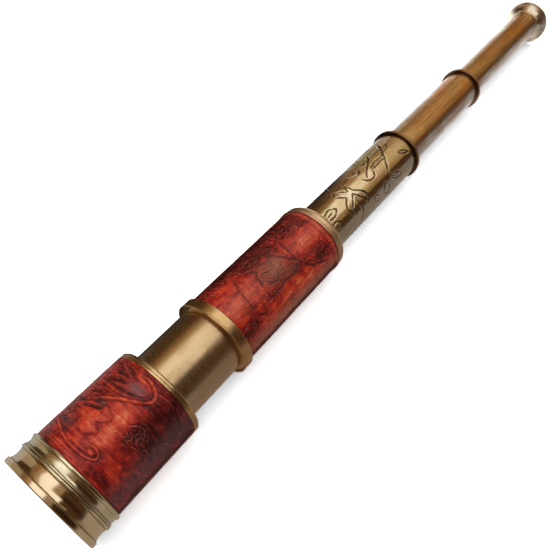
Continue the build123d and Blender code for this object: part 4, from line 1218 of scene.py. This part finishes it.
# strokes that close the two gaps between the two sides
for pts in ([(18, 22), (24, 30), (32, 26), (38, 34), (44, 28)], [(30, 8), (34, 16), (42, 14), (48, 22)],
            [(20, 2), (23, 10), (28, 12)], [(50, 36), (54, 28), (57, 16), (55, 6)], [(36, 0), (41, 6), (47, 4), (52, 10)],
            [(22, 205), (28, 212), (35, 206), (41, 214)], [(46, 200), (51, 210), (56, 204)], [(30, 222), (33, 214), (38, 220)]):
    lea.groove(pts, w=0.52, d=0.26)
lea.fibres("t", 0.07, 0.26, 21, 34, 118, 156, 34)
lea.fibres("t", 0.06, 0.26, 16.4, 20, 50, 112, 12)
lea.fibres("t", 0.05, 0.26, 24, 60, 150, 178, 26)
lea.fibres("t", 0.05, 0.26, 17, 60, 200, 395, 60)
lea.crease(lea.zone([(39.5, 132, 5.6, 12, 1.0), (37.5, 146, 4.0, 9, 0.8)]), 1.9, 3.6, 0.30, 0.24, 1.0, 1.2, 0.12)
lea.crease(lea.zone([(40, 56, 22, 20, 0.9), (57, 72, 5, 30, 0.8), (26, 64, 6, 16, 0.6), (53, 140, 6, 18, 0.45), (54, 98, 4, 9, 0.5)]),
           3.0, 6.5, 0.20, 0.20, 0.85, 2.0, 0.07)
lea.crease(lea.zone([(40, 170, 30, 14, 0.5), (38, 20, 30, 26, 0.7), (38, 290, 30, 74, 0.45)]), 3.5, 8.0, 0.16, 0.16, 0.7, 2.2, 0.05, gaps=0.2)
lea.crease(np.ones(lea.shape) * 0.55, 4.0, 10.0, 0.07, 0.08, 0.55, 2.5, 0.02, gaps=0.5)
lea.settle(a=0.7, b=0.6)
seam(lea, 180.8, 0.46, 6.0)
cover_1 = lea.shell("barrel_cover", "barrel_leather", "barrel", 22.95, -0.80, 0.90)

# ---- second leather cover -----------------------------------------------
MX0, MX1, _ = span("draw_1_leather")
R_L2 = 20.28
lea2 = Relief(MX0, MX1, R_L2, 0.33, 0.31, 23)
lea2.h += lea2.waves(0.030, 9, 40, 14) + lea2.waves(0.015, 1.6, 6, 26)
lea2.stain += 0.12 + lea2.waves(0.18, 7, 30, 16) + lea2.waves(0.12, 2.5, 7, 18)


def ornament_2(rel, dt):
    T = lambda pts: [(x, t + dt) for x, t in pts]
    rib = lambda pts, *a, **k: rel.rib(T(pts), *a, **k)
    cut = lambda pts, *a, **k: rel.groove(T(pts), *a, **k)
    # strokes round the cover
    cut([(117.2, 146), (116.9, 134), (116.8, 120), (117.2, 107), (118, 96), (119.3, 86), (121.2, 76), (123.2, 65), (124.2, 56)], w=0.72, d=0.28, dark=0.80, side=1)
    cut([(127.9, 138), (128.4, 131), (128.2, 124)], w=0.72, d=0.22, dark=0.70, side=-1)
    rib([(126.6, 132), (126.8, 118), (126.4, 104)], 0.9, 0.12, 0.34, 0.12, dark=0.3)
    cut([(153.2, 81), (153.1, 88), (152.9, 95), (152.5, 106), (152.3, 115), (152.8, 122), (153.8, 129)], w=0.85, d=0.32, dark=0.95, side=-1)
    cut([(159.6, 78), (159.1, 88), (158.9, 97), (158.5, 105), (157.0, 110.5)], w=0.72, d=0.24, dark=0.72)
    cut([(122.6, 88), (121.8, 98), (122.2, 110), (121.6, 122)], w=0.5, d=0.14, dark=0.40)
    cut([(113.2, 92), (112.8, 106), (113.2, 122), (112.6, 134)], w=0.45, d=0.12, dark=0.35)
    # worn medallion: brown ground, turns of a fine spiral and petals that fade out
    rel.blotch(135.5, 107, 6.2, 16, -0.68, grey=0.52, dent=-0.10)
    rel.blotch(143.0, 105, 4.4, 12, -0.48, grey=0.58, dent=-0.06)
    cut([(141.0, 82.5), (143.4, 87.6), (144.6, 92), (145.9, 97), (147.0, 101.9), (148.1, 106.3), (148.9, 110.6), (150.2, 115.0), (151.7, 121.0),
         (153.2, 126), (154.2, 131)], w=0.82, d=0.30, dark=0.82, side=-1)
    rib([(144.9, 101), (146.6, 109), (148.2, 115), (150.0, 120.5), (151.8, 126)], 1.1, 0.24, 0.40, 0.22, dark=0.70)
    cut([(137.0, 108.1), (138.8, 112.5), (138.9, 119.0), (137.0, 122.8), (134.6, 121.2), (132.6, 116.8), (131.9, 111.9), (133.0, 108.6), (134.3, 110.2),
         (133.9, 114.0), (135.4, 116.6)], w=0.50, d=0.22, dark=0.80)
    rib([(130.9, 113), (131.2, 108), (132.8, 105.2), (134.8, 105.6), (136.2, 109.6), (137.0, 113.6)], 0.85, 0.22, 0.36, 0.22, dark=0.85)
    cut([(130.6, 104), (132.4, 101.4), (134.6, 102.2), (136.6, 105.2), (138.6, 101.2), (138.2, 97.0)], w=0.55, d=0.22, dark=0.90)
    cut([(133.0, 97.6), (134.9, 95.2), (136.8, 97.4), (136.2, 100.4), (134.6, 99.6)], w=0.50, d=0.20, dark=0.90)
    cut([(140.8, 108), (142.6, 104.0), (144.4, 107.6), (143.2, 112.4), (141.2, 113.4)], w=0.50, d=0.18, dark=0.70)
    cut([(139.6, 94), (141.0, 97.6), (140.4, 101.6)], w=0.50, d=0.18, dark=0.75)
    cut([(140.2, 118), (142.8, 115.4), (145.6, 118.0)], w=0.50, d=0.18, dark=0.70)
    rel.blotch(137.7, 118, 1.9, 4.6, -1.1, dent=-0.08)
    rel.blotch(136.6, 113.5, 1.0, 3.0, -0.9)
    cut([(129.3, 126), (131.4, 128.6), (134.0, 132.6), (136.8, 134.0)], w=0.75, d=0.24, dark=0.85)
    rel.blotch(146.5, 125.5, 6.4, 6.5, -0.75, grey=0.25, dent=-0.08)
    # folds above it
    cut([(126.4, 70), (127.0, 75), (127.9, 79.8), (129.1, 84.5), (130.5, 88.0), (132.0, 91.6), (131.0, 96.0), (129.9, 101), (129.3, 107), (128.9, 113),
         (129.5, 120), (130.4, 125.5)], w=0.80, d=0.30, dark=0.85, side=1)
    rib([(124.4, 58), (125.6, 66), (126.2, 75), (127.4, 83)], 1.1, 0.22, 0.38, 0.22, dark=0.7)
    for x, t, rx, rt in ((132.6, 72, 1.3, 3.4), (131.4, 80.6, 1.5, 2.6), (136.6, 82.6, 1.4, 2.6), (139.8, 75.6, 1.5, 2.0), (138.6, 69.5, 0.8, 4.2),
                         (136.2, 90.0, 1.0, 1.6), (148.6, 74, 0.7, 6.5), (149.4, 87.5, 0.9, 2.6), (145.6, 81.6, 0.8, 1.8), (158.6, 68, 1.6, 4.2),
                         (162.0, 74, 1.6, 3.4)):
        rel.blotch(x, t, rx, rt, -1.15, dent=-0.12)
    for pts in ([(131.6, 74), (132.8, 79), (134.4, 77), (135.4, 72)], [(135.0, 83), (136.6, 80), (138.2, 82.6)], [(137.6, 70), (138.6, 76), (140.6, 79.5)],
                [(132.2, 66), (134.4, 68.6), (137.0, 66)], [(140.8, 86), (141.8, 80), (141.4, 74)], [(129.4, 68), (130.8, 71.5), (132.0, 70)]):
        rib(pts, 0.75, 0.22, 0.38, 0.24, dark=0.95)
    for pts in ([(112.4, 60), (113.6, 66), (112.8, 72), (111.4, 77)], [(108.0, 66), (109.6, 72), (109.0, 79)], [(105.6, 58), (106.8, 64), (106.2, 71)],
                [(116.2, 57), (117.8, 63), (117.4, 70)], [(120.2, 60), (121.0, 66), (119.8, 72)]):
        rib(pts, 0.85, 0.20, 0.38, 0.22, dark=0.85)
    for pts in ([(146.0, 60), (147.0, 69), (146.6, 79), (148.2, 87)], [(150.0, 62), (150.6, 71), (149.8, 80)], [(143.2, 58), (144.0, 67), (143.2, 76)],
                [(155.6, 60), (156.6, 68), (155.8, 76), (157.2, 84)]):
        cut(pts, w=0.75, d=0.28, dark=0.9, side=1)
    # curl and mottles by the rear ring
    rib([(163.8, 90.5), (163.4, 85.5), (164.8, 81.4), (167.2, 81.8), (167.9, 86.6), (166.6, 89.8), (165.4, 87.4)], 0.8, 0.26, 0.38, 0.26, taper=0.12, dark=0.9)
    for pts in ([(160.6, 66), (161.6, 71), (163.4, 70)], [(164.8, 74), (166.6, 71.6), (168.6, 74)], [(169.6, 80), (170.8, 76), (172.6, 77.4)],
                [(161.0, 78), (162.2, 82), (161.4, 86.4)], [(169.4, 88), (171.4, 85.6), (172.8, 88.6)], [(166.0, 63), (168.2, 65.4), (170.4, 63)],
                [(171.4, 67), (172.8, 71), (172.2, 75)]):
        rib(pts, 0.75, 0.22, 0.38, 0.26, dark=1.0)
    # long stroke running down to the rear
    cut([(153.8, 130), (155.0, 136.1), (156.6, 141.2), (158.4, 144.8), (161.0, 148.8), (164.6, 153), (169, 158)], w=0.90, d=0.34, dark=0.95, side=-1)
    cut([(118, 133.6), (124, 134.0), (130, 134.6), (136, 134), (140, 131.4), (143.4, 132.6), (147, 133.4), (150, 130), (153.4, 131.6)],
        w=0.80, d=0.26, dark=0.92, side=-1)
    cut([(126.8, 137.2), (131.6, 137.6), (137.4, 137.4)], w=0.60, d=0.18, dark=0.75)
    cut([(130, 143.4), (138, 144.0), (147, 143.2)], w=0.42, d=0.12, dark=0.40)
    cut([(158.4, 127.5), (163.4, 129.4), (168.6, 128.0), (173, 129.5)], w=0.62, d=0.24, dark=0.85)
    for pts in ([(162.2, 134), (163.2, 139), (162.2, 144)], [(166.0, 133), (167.6, 137.4), (170.0, 136), (170.8, 132.6)], [(165.2, 142), (167.4, 146), (166.4, 151)],
                [(170.4, 141), (172.2, 145), (171.6, 151)], [(159.8, 134), (160.4, 138), (161.8, 140)]):
        rib(pts, 0.75, 0.20, 0.38, 0.24, dark=0.95)
    for pts in ([(106.0, 138), (108.4, 141), (107.6, 147)], [(111.0, 140), (113.0, 144), (112.2, 150)], [(116.6, 141), (118.4, 145), (120.6, 143)],
                [(122.4, 137), (123.4, 142), (122.6, 148)]):
        rib(pts, 0.75, 0.18, 0.38, 0.22, dark=0.85)
    # dye, with painted sheen and painted shade where marked
    rel.blotch(115, 84, 12, 9, 0.42)
    # painted sheen: tan patches in the highlight band
    rel.blotch(110, 107, 8, 12, 0.72, grey=0.42)
    rel.blotch(122, 110, 5, 15, 0.55, grey=0.25)
    rel.blotch(165, 108, 10, 10.5, 0.80, grey=0.38)
    rel.blotch(142, 149, 20, 10.5, 0.62)
    rel.blotch(156, 158, 12, 6, 0.36)
    rel.groove(T(curl(135.6, 110, R_L2, 6.0, 1.4, 2.4, 210)), w=0.46, d=0.15, dark=0.50)
    rel.blotch(154, 152, 6, 6, 0.12)
    rel.blotch(148, 76, 10, 9, -0.35)
    rel.blotch(151, 131, 6, 4.5, -0.70)
    rel.blotch(167, 140, 7, 11, -0.62)
    rel.blotch(167, 76, 7, 12, -0.80)
    rel.blotch(135, 75, 8, 11, -0.75)
    rel.blotch(108, 143, 8, 9, -0.80)
    rel.blotch(120, 142, 4, 6, -0.35)
    # darker along the whole upper side
    rel.blotch(140, 50, 60, 12, -1.6)
    # painted shade: darker and greyer along the whole low side
    rel.blotch(140, 170, 60, 11, -0.30, grey=0.80)


def ornament_2b(rel, dt):
    """The far side of the second cover: plain leafy scrolls."""
    T = lambda pts: [(x, t + dt) for x, t in pts]
    rel.groove(T([(110, 150), (110.5, 135), (111, 122), (109, 112), (110.5, 100), (112, 85)]), w=0.48, d=0.26)
    rel.groove(T([(118, 160), (119.6, 148), (123.0, 140), (127.4, 141), (129.6, 148), (127.6, 155)]), w=0.5, d=0.28)
    rel.pillow(T([(120.0, 128), (122.6, 134), (127.0, 134), (130.4, 127), (127.6, 119), (122.6, 119)]), hh=0.24, bevel=1.4, w=0.46, d=0.28, stain=0.4)
    rel.groove(T(curl(125.2, 126.6, R_L2, 2.6, 0.4, 1.5, 90)), w=0.38, d=0.2)
    rel.groove(T([(131.5, 122), (136.0, 116), (141.2, 116), (145.4, 122), (150.0, 124), (155.0, 118)]), w=0.5, d=0.28)
    rel.groove(T([(134.0, 146), (139.0, 140), (145.2, 141), (150.0, 148), (156.4, 148), (162.0, 140)]), w=0.5, d=0.28)
    rel.pillow(T([(140.2, 131), (144.0, 136), (149.0, 135), (151.6, 130), (147.2, 126.6), (142.6, 127)]), hh=0.24, bevel=1.3, w=0.44, d=0.26, stain=0.3)
    rel.groove(T([(114.0, 104), (119.6, 98), (126.0, 100), (131.0, 94), (137.6, 92)]), w=0.5, d=0.26)
    rel.groove(T([(140.4, 104), (146.0, 98), (152.6, 99), (158.0, 92), (165.0, 90)]), w=0.5, d=0.26)
    rel.groove(T([(160.0, 126), (164.6, 130), (168.4, 126), (168.0, 118), (164.0, 116), (161.6, 119)]), w=0.48, d=0.28)
    rel.groove(T([(158.6, 108), (163.6, 108), (169.0, 104), (172.8, 108)]), w=0.46, d=0.24)
    rel.groove(T([(124.0, 84), (129.0, 78), (136.0, 80), (142.0, 74)]), w=0.46, d=0.24)
    rel.groove(T([(148.0, 82), (154.0, 76), (160.0, 78), (167.0, 72)]), w=0.46, d=0.24)
    rel.groove(T([(108.0, 166), (113.0, 172), (120.0, 168), (126.0, 174)]), w=0.46, d=0.24)
    rel.groove(T([(136.0, 164), (142.0, 160), (149.0, 166), (156.0, 162), (163.0, 168)]), w=0.46, d=0.24)
    for x, t, rx, rt, a in ((125, 126, 6, 12, 0.5), (112, 140, 6, 12, -0.6), (150, 110, 9, 9, 0.5), (165, 140, 6, 12, -0.7), (134, 104, 7, 9, -0.4),
                            (146, 131, 5, 8, 0.4), (160, 100, 6, 8, 0.35), (118, 92, 6, 9, 0.3), (140, 160, 14, 8, -0.6)):
        rel.blotch(x, t + dt, rx, rt, a)


ornament_2(lea2, 0.0)
ornament_2b(lea2, 176.0)
for pts in ([(106, 30), (112, 36), (120, 30), (128, 38), (135, 32)], [(118, 18), (126, 22), (133, 14), (140, 20)],
            [(140, 40), (147, 34), (154, 42), (161, 36), (168, 44)], [(148, 16), (155, 24), (163, 18), (170, 26)],
            [(110, 6), (116, 10), (123, 4)], [(158, 4), (164, 10), (172, 6)],
            [(110, 198), (117, 204), (125, 198), (132, 206)], [(140, 200), (148, 208), (156, 200), (164, 208), (171, 202)],
            [(120, 220), (127, 214), (134, 220)], [(150, 220), (157, 226), (165, 220)]):
    lea2.groove(pts, w=0.5, d=0.26)
lea2.fibres("x", 0.10, 0.34, 104.5, 128, 92, 130, 70)
lea2.fibres("t", 0.10, 0.34, 104.5, 128, 92, 130, 26)
lea2.fibres("x", 0.05, 0.25, 118, 160, 134, 166, 40)
lea2.fibres("x", 0.05, 0.25, 104, 178, 190, 410, 110)
lea2.fibres("x", 0.05, 0.25, 154, 177, 96, 128, 20)
lea2.crease(lea2.zone([(137.5, 108, 9.5, 19, 0.9)]), 1.7, 3.2, 0.36, 0.18, 0.95, 1.3, 0.08)
lea2.crease(lea2.zone([(138, 68, 14, 14, 0.9), (160, 66, 14, 16, 0.9), (112, 58, 10, 12, 0.8), (168, 84, 7, 16, 0.9), (152, 131, 6, 11, 0.9),
                       (166, 146, 9, 14, 0.9), (111, 150, 8, 12, 0.7), (148, 84, 8, 10, 0.6)]), 2.4, 5.0, 0.36, 0.24, 1.0, 1.8, 0.09)
lea2.crease(lea2.zone([(140, 20, 44, 30, 0.8), (140, 290, 44, 86, 0.5), (140, 172, 44, 12, 0.5)]), 3.0, 7.0, 0.16, 0.16, 0.75, 2.2, 0.05, gaps=0.2)
lea2.crease(np.ones(lea2.shape) * 0.85, 2.6, 6.0, 0.15, 0.14, 0.85, 2.2, 0.05, gaps=0.05)
lea2.settle(a=0.6, b=0.5)
ridge = bumpf(lea2.xs[:, None] - 174.4, 0.55)
lea2.h -= 0.22 * ridge
lea2.cut = np.maximum(lea2.cut, 0.75 * ridge)
lea2.h += 0.26 * bumpf(lea2.xs[:, None] - 176.2, 1.4)
lea2.lift = np.maximum(lea2.lift, 0.5 * bumpf(lea2.xs[:, None] - 176.2, 1.2))
lea2.grey += 0.25 * bumpf(lea2.xs[:, None] - 176.2, 1.6)
seam(lea2, 180.2, 0.40, 5.0)
cover_2 = lea2.shell("first_draw_cover", "draw_1_leather", "draw_1", 18.60, -0.80, 0.85)


# ---- leather material ---------------------------------------------------
def leather(name, fibre_scale, streaks, greyed, antique, lines):
    """Dyed and antiqued tooled leather. The masks come with the relief; the grain and mottling are noise."""
    mat, nt = node_tree(name)
    n = Net(nt)
    out = n.add("ShaderNodeOutputMaterial")
    b = n.add("ShaderNodeBsdfPrincipled")
    nt.links.new(b.outputs[0], out.inputs[0])
    co = n.coords()
    cut = n.attr("cut").outputs["Fac"]
    lift = n.attr("lift").outputs["Fac"]
    stain = n.attr("stain").outputs["Fac"]
    grey = n.attr("grey").outputs["Fac"]
    mott = n.noise(co, 330.0, 5.0, 0.66, 0.8)
    long = n.noise(n.scaled(co, streaks), 560.0, 4.0, 0.64, 0.2)
    grain = n.noise(n.scaled(co, fibre_scale), 1100.0, 4.0, 0.62)
    s = n.math("ADD", stain, n.math("MULTIPLY", n.math("SUBTRACT", mott, 0.5), 0.95))
    s = n.math("ADD", s, n.math("MULTIPLY", n.math("SUBTRACT", long, 0.5), lines))
    col = n.mix(n.ramp(s, -1.30, -0.50, smooth=False), (0.020, 0.0020, 0.0018), (0.070, 0.0036, 0.0028))
    col = n.mix(n.ramp(s, -0.50, 0.05, smooth=False), col, (0.165, 0.0072, 0.0036))
    col = n.mix(n.ramp(s, 0.05, 0.65, smooth=False), col, (0.290, 0.0225, 0.0066))
    col = n.mix(n.ramp(s, 0.72, 1.65, smooth=False), col, (0.44, 0.148, 0.058))
    # grey tone: worn dye, and at the marked blotches painted sheen and painted shade
    col = n.mix(n.math("MULTIPLY", grey, 0.62), col, greyed)
    # dye rubbed off the high places
    rub = n.math("MULTIPLY", lift, n.ramp(mott, 0.32, 0.66, 0.25, 1.0))
    col = n.mix(n.math("MULTIPLY", rub, 0.30), col, (0.41, 0.082, 0.042))
    # fine fibres and pores
    col = n.mix(n.ramp(grain, 0.52, 0.72, 0.0, 0.42), col, (0.030, 0.0035, 0.0028))
    col = n.mix(n.ramp(grain, 0.28, 0.44, 0.16, 0.0), col, (0.46, 0.095, 0.040))
    # dark antiquing in the cuts; the same mask carries the painted shadow beyond the seam's edge
    dk = n.ramp(n.math("ADD", cut, n.math("MULTIPLY", n.math("SUBTRACT", mott, 0.5), 0.30)), 0.16, 0.85)
    col = n.mix(n.math("MULTIPLY", dk, 0.90), col, antique)
    n.put(b.inputs["Base Color"], col)
    r = n.math("ADD", n.ramp(mott, 0.3, 0.7, 0.24, 0.36), n.math("MULTIPLY", dk, 0.25))
    n.put(b.inputs["Roughness"], r)
    b.inputs["Specular IOR Level"].default_value = 0.15
    pores = n.add("ShaderNodeTexVoronoi", feature="F1")
    n.put(pores.inputs["Vector"], co)
    pores.inputs["Scale"].default_value = 1500.0
    b1 = n.add("ShaderNodeBump", {"Strength": 0.60, "Distance": 0.00010})
    n.put(b1.inputs["Height"], grain)
    b2 = n.add("ShaderNodeBump", {"Strength": 0.30, "Distance": 0.00006})
    n.put(b2.inputs["Height"], pores.outputs["Distance"])
    nt.links.new(b1.outputs[0], b2.inputs["Normal"])
    b3 = n.add("ShaderNodeBump", {"Strength": 0.55, "Distance": 0.00030})
    n.put(b3.inputs["Height"], mott)
    nt.links.new(b2.outputs[0], b3.inputs["Normal"])
    b4 = n.add("ShaderNodeBump", {"Strength": 0.45, "Distance": 0.00022})
    n.put(b4.inputs["Height"], long)
    nt.links.new(b3.outputs[0], b4.inputs["Normal"])
    nt.links.new(b4.outputs[0], b.inputs["Normal"])
    return mat


finish(cover_1, leather("embossed_leather", (1.0, 0.20, 0.20), (1.35, 0.08, 0.08), (0.130, 0.075, 0.078),
                        (0.024, 0.0040, 0.0030), 2.45))
finish(cover_2, leather("embossed_leather_long", (0.20, 1.0, 1.0), (0.16, 1.0, 1.0), (0.300, 0.112, 0.062),
                        (0.048, 0.0075, 0.0050), 2.2))

# ---- engraved second draw -----------------------------------------------
TX0, TX1, R_D2 = span("draw_2_tube")
E0 = 184.0
eng = Relief(E0, TX1, R_D2, 0.30, 0.29, 37)
W, D = 0.80, 0.25


def engrave(rel, dt, dx=0.0):
    T = lambda pts: [(x + dx, t + dt) for x, t in pts]
    g = lambda pts, w=W, d=D, dark=1.0: rel.groove(T(pts), w=0.84 * w, d=d, dark=dark, taper=0.08)
    # bud by the end ring
    g([(187.0, 103.0), (189.8, 99.0), (192.5, 97.0), (195.2, 102), (196.9, 107.5), (196.0, 112), (193.5, 117.2), (190.6, 118.5), (187.4, 115.4)], 0.90)
    g([(187.2, 109.6), (190.4, 108.4), (193.6, 107.4)], 0.60)
    g([(187.0, 134.5), (188.6, 129.2), (191.2, 129.0), (192.8, 133.8), (191.2, 139.5), (188.6, 140.4), (187.0, 137.0)], 0.85)
    # four leaves that cross: one outline round all of them
    g([(205.3, 72.5), (203.8, 80), (202.9, 87.5), (204.2, 92.5), (205.9, 99.7), (207.5, 106.2), (205.7, 112.2), (203.7, 120), (202.5, 128),
       (203.1, 135.2), (204.7, 143.0), (207.0, 150.4)], 0.95, 0.28)
    g([(207.0, 150.4), (205.9, 142.5), (206.1, 134.0), (208.3, 125), (210.7, 116.5), (212.5, 110.8), (213.9, 116), (215.2, 125), (216.7, 133.1),
       (217.9, 141.0), (217.7, 150.5)], 0.95, 0.28)
    g([(217.7, 150.5), (219.3, 143.8), (220.3, 136.5), (220.1, 128.5), (218.7, 119.5), (216.9, 111.5), (215.3, 104.2), (214.8, 97.6), (214.7, 89.5),
       (214.1, 77.0)], 0.95, 0.28)
    g([(214.1, 77.0), (213.3, 83.4), (212.7, 90.5), (211.7, 96.8), (210.5, 95.0), (209.3, 89.5), (207.7, 83.4), (205.3, 72.5)], 0.95, 0.28)
    # veins and the stem
    g([(205.6, 84.5), (207.9, 93.8), (210.4, 102.6)], 0.42, 0.14, 0.55)
    g([(204.6, 134.5), (206.6, 124.0), (209.6, 113.8)], 0.42, 0.14, 0.55)
    g([(218.4, 132.5), (216.8, 122.5), (214.3, 112.4)], 0.42, 0.14, 0.55)
    g([(212.5, 118), (212.0, 130), (211.9, 142), (212.7, 152), (211.6, 162), (209.9, 172), (209.2, 182)], 0.80, 0.24, 0.9)
    shine(rel, T([(204.9, 133), (205.2, 124), (207.6, 115), (209.4, 107.5), (207.8, 100), (206.0, 91), (207.6, 88), (210.0, 97.5), (211.6, 99.5),
                  (213.2, 93), (213.6, 101), (215.0, 107.5), (217.6, 116), (219.0, 124), (218.6, 134), (216.8, 127), (215.0, 117), (212.6, 108),
                  (210.0, 115), (207.6, 124), (205.4, 133.4)]), 1.0)
    # round leaf and its stem
    g([(221.2, 71.0), (222.4, 77.0), (224.0, 82.4), (226.2, 86.2), (228.3, 85.0), (229.4, 79.5), (228.0, 74.0)], 0.95, 0.27)
    g([(225.2, 98.0), (225.9, 105), (227.3, 112), (229.1, 116.9), (231.4, 118.4), (233.5, 116.9), (234.9, 111.8), (235.9, 105.2), (235.2, 99.0)], 0.95, 0.27)
    g([(228.6, 110.0), (230.1, 102.7), (232.0, 96.6), (234.0, 91.5), (236.4, 86.8), (238.8, 82.0), (241.1, 77.0), (242.9, 71.4), (244.4, 65.5)], 0.98, 0.27)
    g([(231.2, 66), (232.9, 74.5), (234.4, 81), (236.2, 87.0)], 0.62, 0.18, 0.7)
    shine(rel, T([(229.4, 111), (231.0, 104.5), (233.2, 98.5), (234.8, 98), (234.0, 108), (232.6, 113.6), (230.6, 114.4)]), 0.8)
    # broad dark leaf, closed at both ends
    g([(237.8, 97.6), (241.2, 97.2), (245.0, 97.0), (248.6, 97.6)], 3.4, 0.05, 0.45)
    g([(235.9, 98.6), (237.9, 101.6), (240.6, 102.2), (243.4, 101.4), (246.6, 101.4), (249.6, 103.2)], 0.82, 0.25)
    g([(235.9, 98.6), (238.0, 95.0), (240.6, 93.0), (243.2, 91.6), (246.0, 93.0), (248.6, 93.6), (251.6, 91.4)], 0.82, 0.25)
    # long stem from end to end, with a leaf on it
    g([(257.6, 61), (256.2, 69), (255.0, 76.2), (253.4, 83.0), (251.9, 90.0), (250.7, 97.2), (249.3, 104.7), (247.6, 112.4), (246.0, 121),
       (244.5, 129.6), (243.2, 138.5)], 1.08, 0.30)
    g([(252.4, 90.5), (254.2, 85.0), (257.0, 81.2), (260.8, 78.6), (259.2, 84.0), (256.4, 88.0), (252.4, 90.5)], 0.72, 0.24)
    g([(259.4, 114.0), (262.2, 117.0), (264.7, 122.5), (267.0, 132.5), (263.6, 128.6), (261.0, 122.0), (259.4, 114.0)], 0.72, 0.24)
    # leaves low on the side
    g([(233.9, 165), (235.1, 154.5), (237.4, 145.0), (239.7, 153.5), (240.9, 163.6), (238.2, 173.5), (233.9, 165)], 0.78, 0.24)
    g([(237.4, 150), (237.7, 158), (237.5, 167)], 0.45, 0.15, 0.6)
    g([(243.4, 138.5), (244.3, 147), (246.4, 155), (250.0, 161.5), (254.8, 163.5), (253.4, 154.6), (250.2, 146.4), (243.4, 138.5)], 0.78, 0.24)
    g([(245.4, 144.0), (248.4, 152), (252.2, 159.5)], 0.45, 0.15, 0.6)
    g([(225.6, 150), (224.4, 158), (225.6, 166), (228.0, 170), (229.6, 164), (228.8, 156), (225.6, 150)], 0.66, 0.22, 0.85)


def shine(rel, pts, amount):
    P = spline(pts, rel.R, closed=True)
    got = rel.near(P, 0.8)
    if got is None:
        return
    sel, X, S, Dd, A, sgn = got
    ins = rel.inside(P[::2], X, S)
    v = np.where(ins, amount, amount * bumpf(Dd, 0.7))
    rel.lift[sel] = np.maximum(rel.lift[sel], v)
    rel.h[sel] += np.where(ins, 0.03 * np.clip(Dd / 0.6, 0, 1), 0)


engrave(eng, 0.0)
engrave(eng, 122.0, 1.6)
engrave(eng, 243.0, -1.2)
h = np.clip(eng.h, -0.32, 0.06) - 0.03
# the tube's whole length: plain where it lies hidden in the first draw
xs = np.concatenate([[TX0, TX0 + 0.12, TX0 + 0.4], np.arange(TX0 + 4, E0 - 0.5, 4.0), eng.xs[:-1], [TX1 - 0.06, TX1]])
pre = len(xs) - len(eng.xs) - 1
rows = []
t = eng.ts / eng.R
for k, x in enumerate(xs):
    j = k - pre
    hh = h[j] if 0 <= j < len(eng.xs) - 1 else np.zeros(eng.nt)
    edge_in = 0.10 if k == 0 or k == len(xs) - 1 else 0.0
    r = R_D2 + np.minimum(hh, 0.0) - edge_in
    rows.append(np.stack([np.full(eng.nt, x), r * np.cos(t), r * np.sin(t)], -1))
bore = 13.92
for x in (TX1, TX0):
    rows.append(np.stack([np.full(eng.nt, x), bore * np.cos(t), bore * np.sin(t)], -1))
me = grid_mesh("second_draw_tube", np.stack(rows) * MM, True, True)


def along(a, fill=0.0, bore_fill=0.0):
    full = np.full((len(xs) + 2, eng.nt), fill)
    full[pre:pre + len(eng.xs) - 1] = a[:-1]
    full[-2:] = bore_fill
    return full.reshape(-1)


put_attr(me, "cut", along(np.clip(eng.cut, 0, 1)))
put_attr(me, "lift", along(np.clip(eng.lift, 0, 1)))
put_attr(me, "wear", along(np.zeros(eng.shape), 0.0, -0.8))
put_attr(me, "band", np.tile(painted_sheen_band(np.degrees(eng.ts / eng.R)), len(xs) + 2))
outward(me)
tube2 = link_object("second_draw_tube", me)
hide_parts("draw_2_tube")
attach(tube2, "draw_2")
finish(tube2, M_OLIVE)
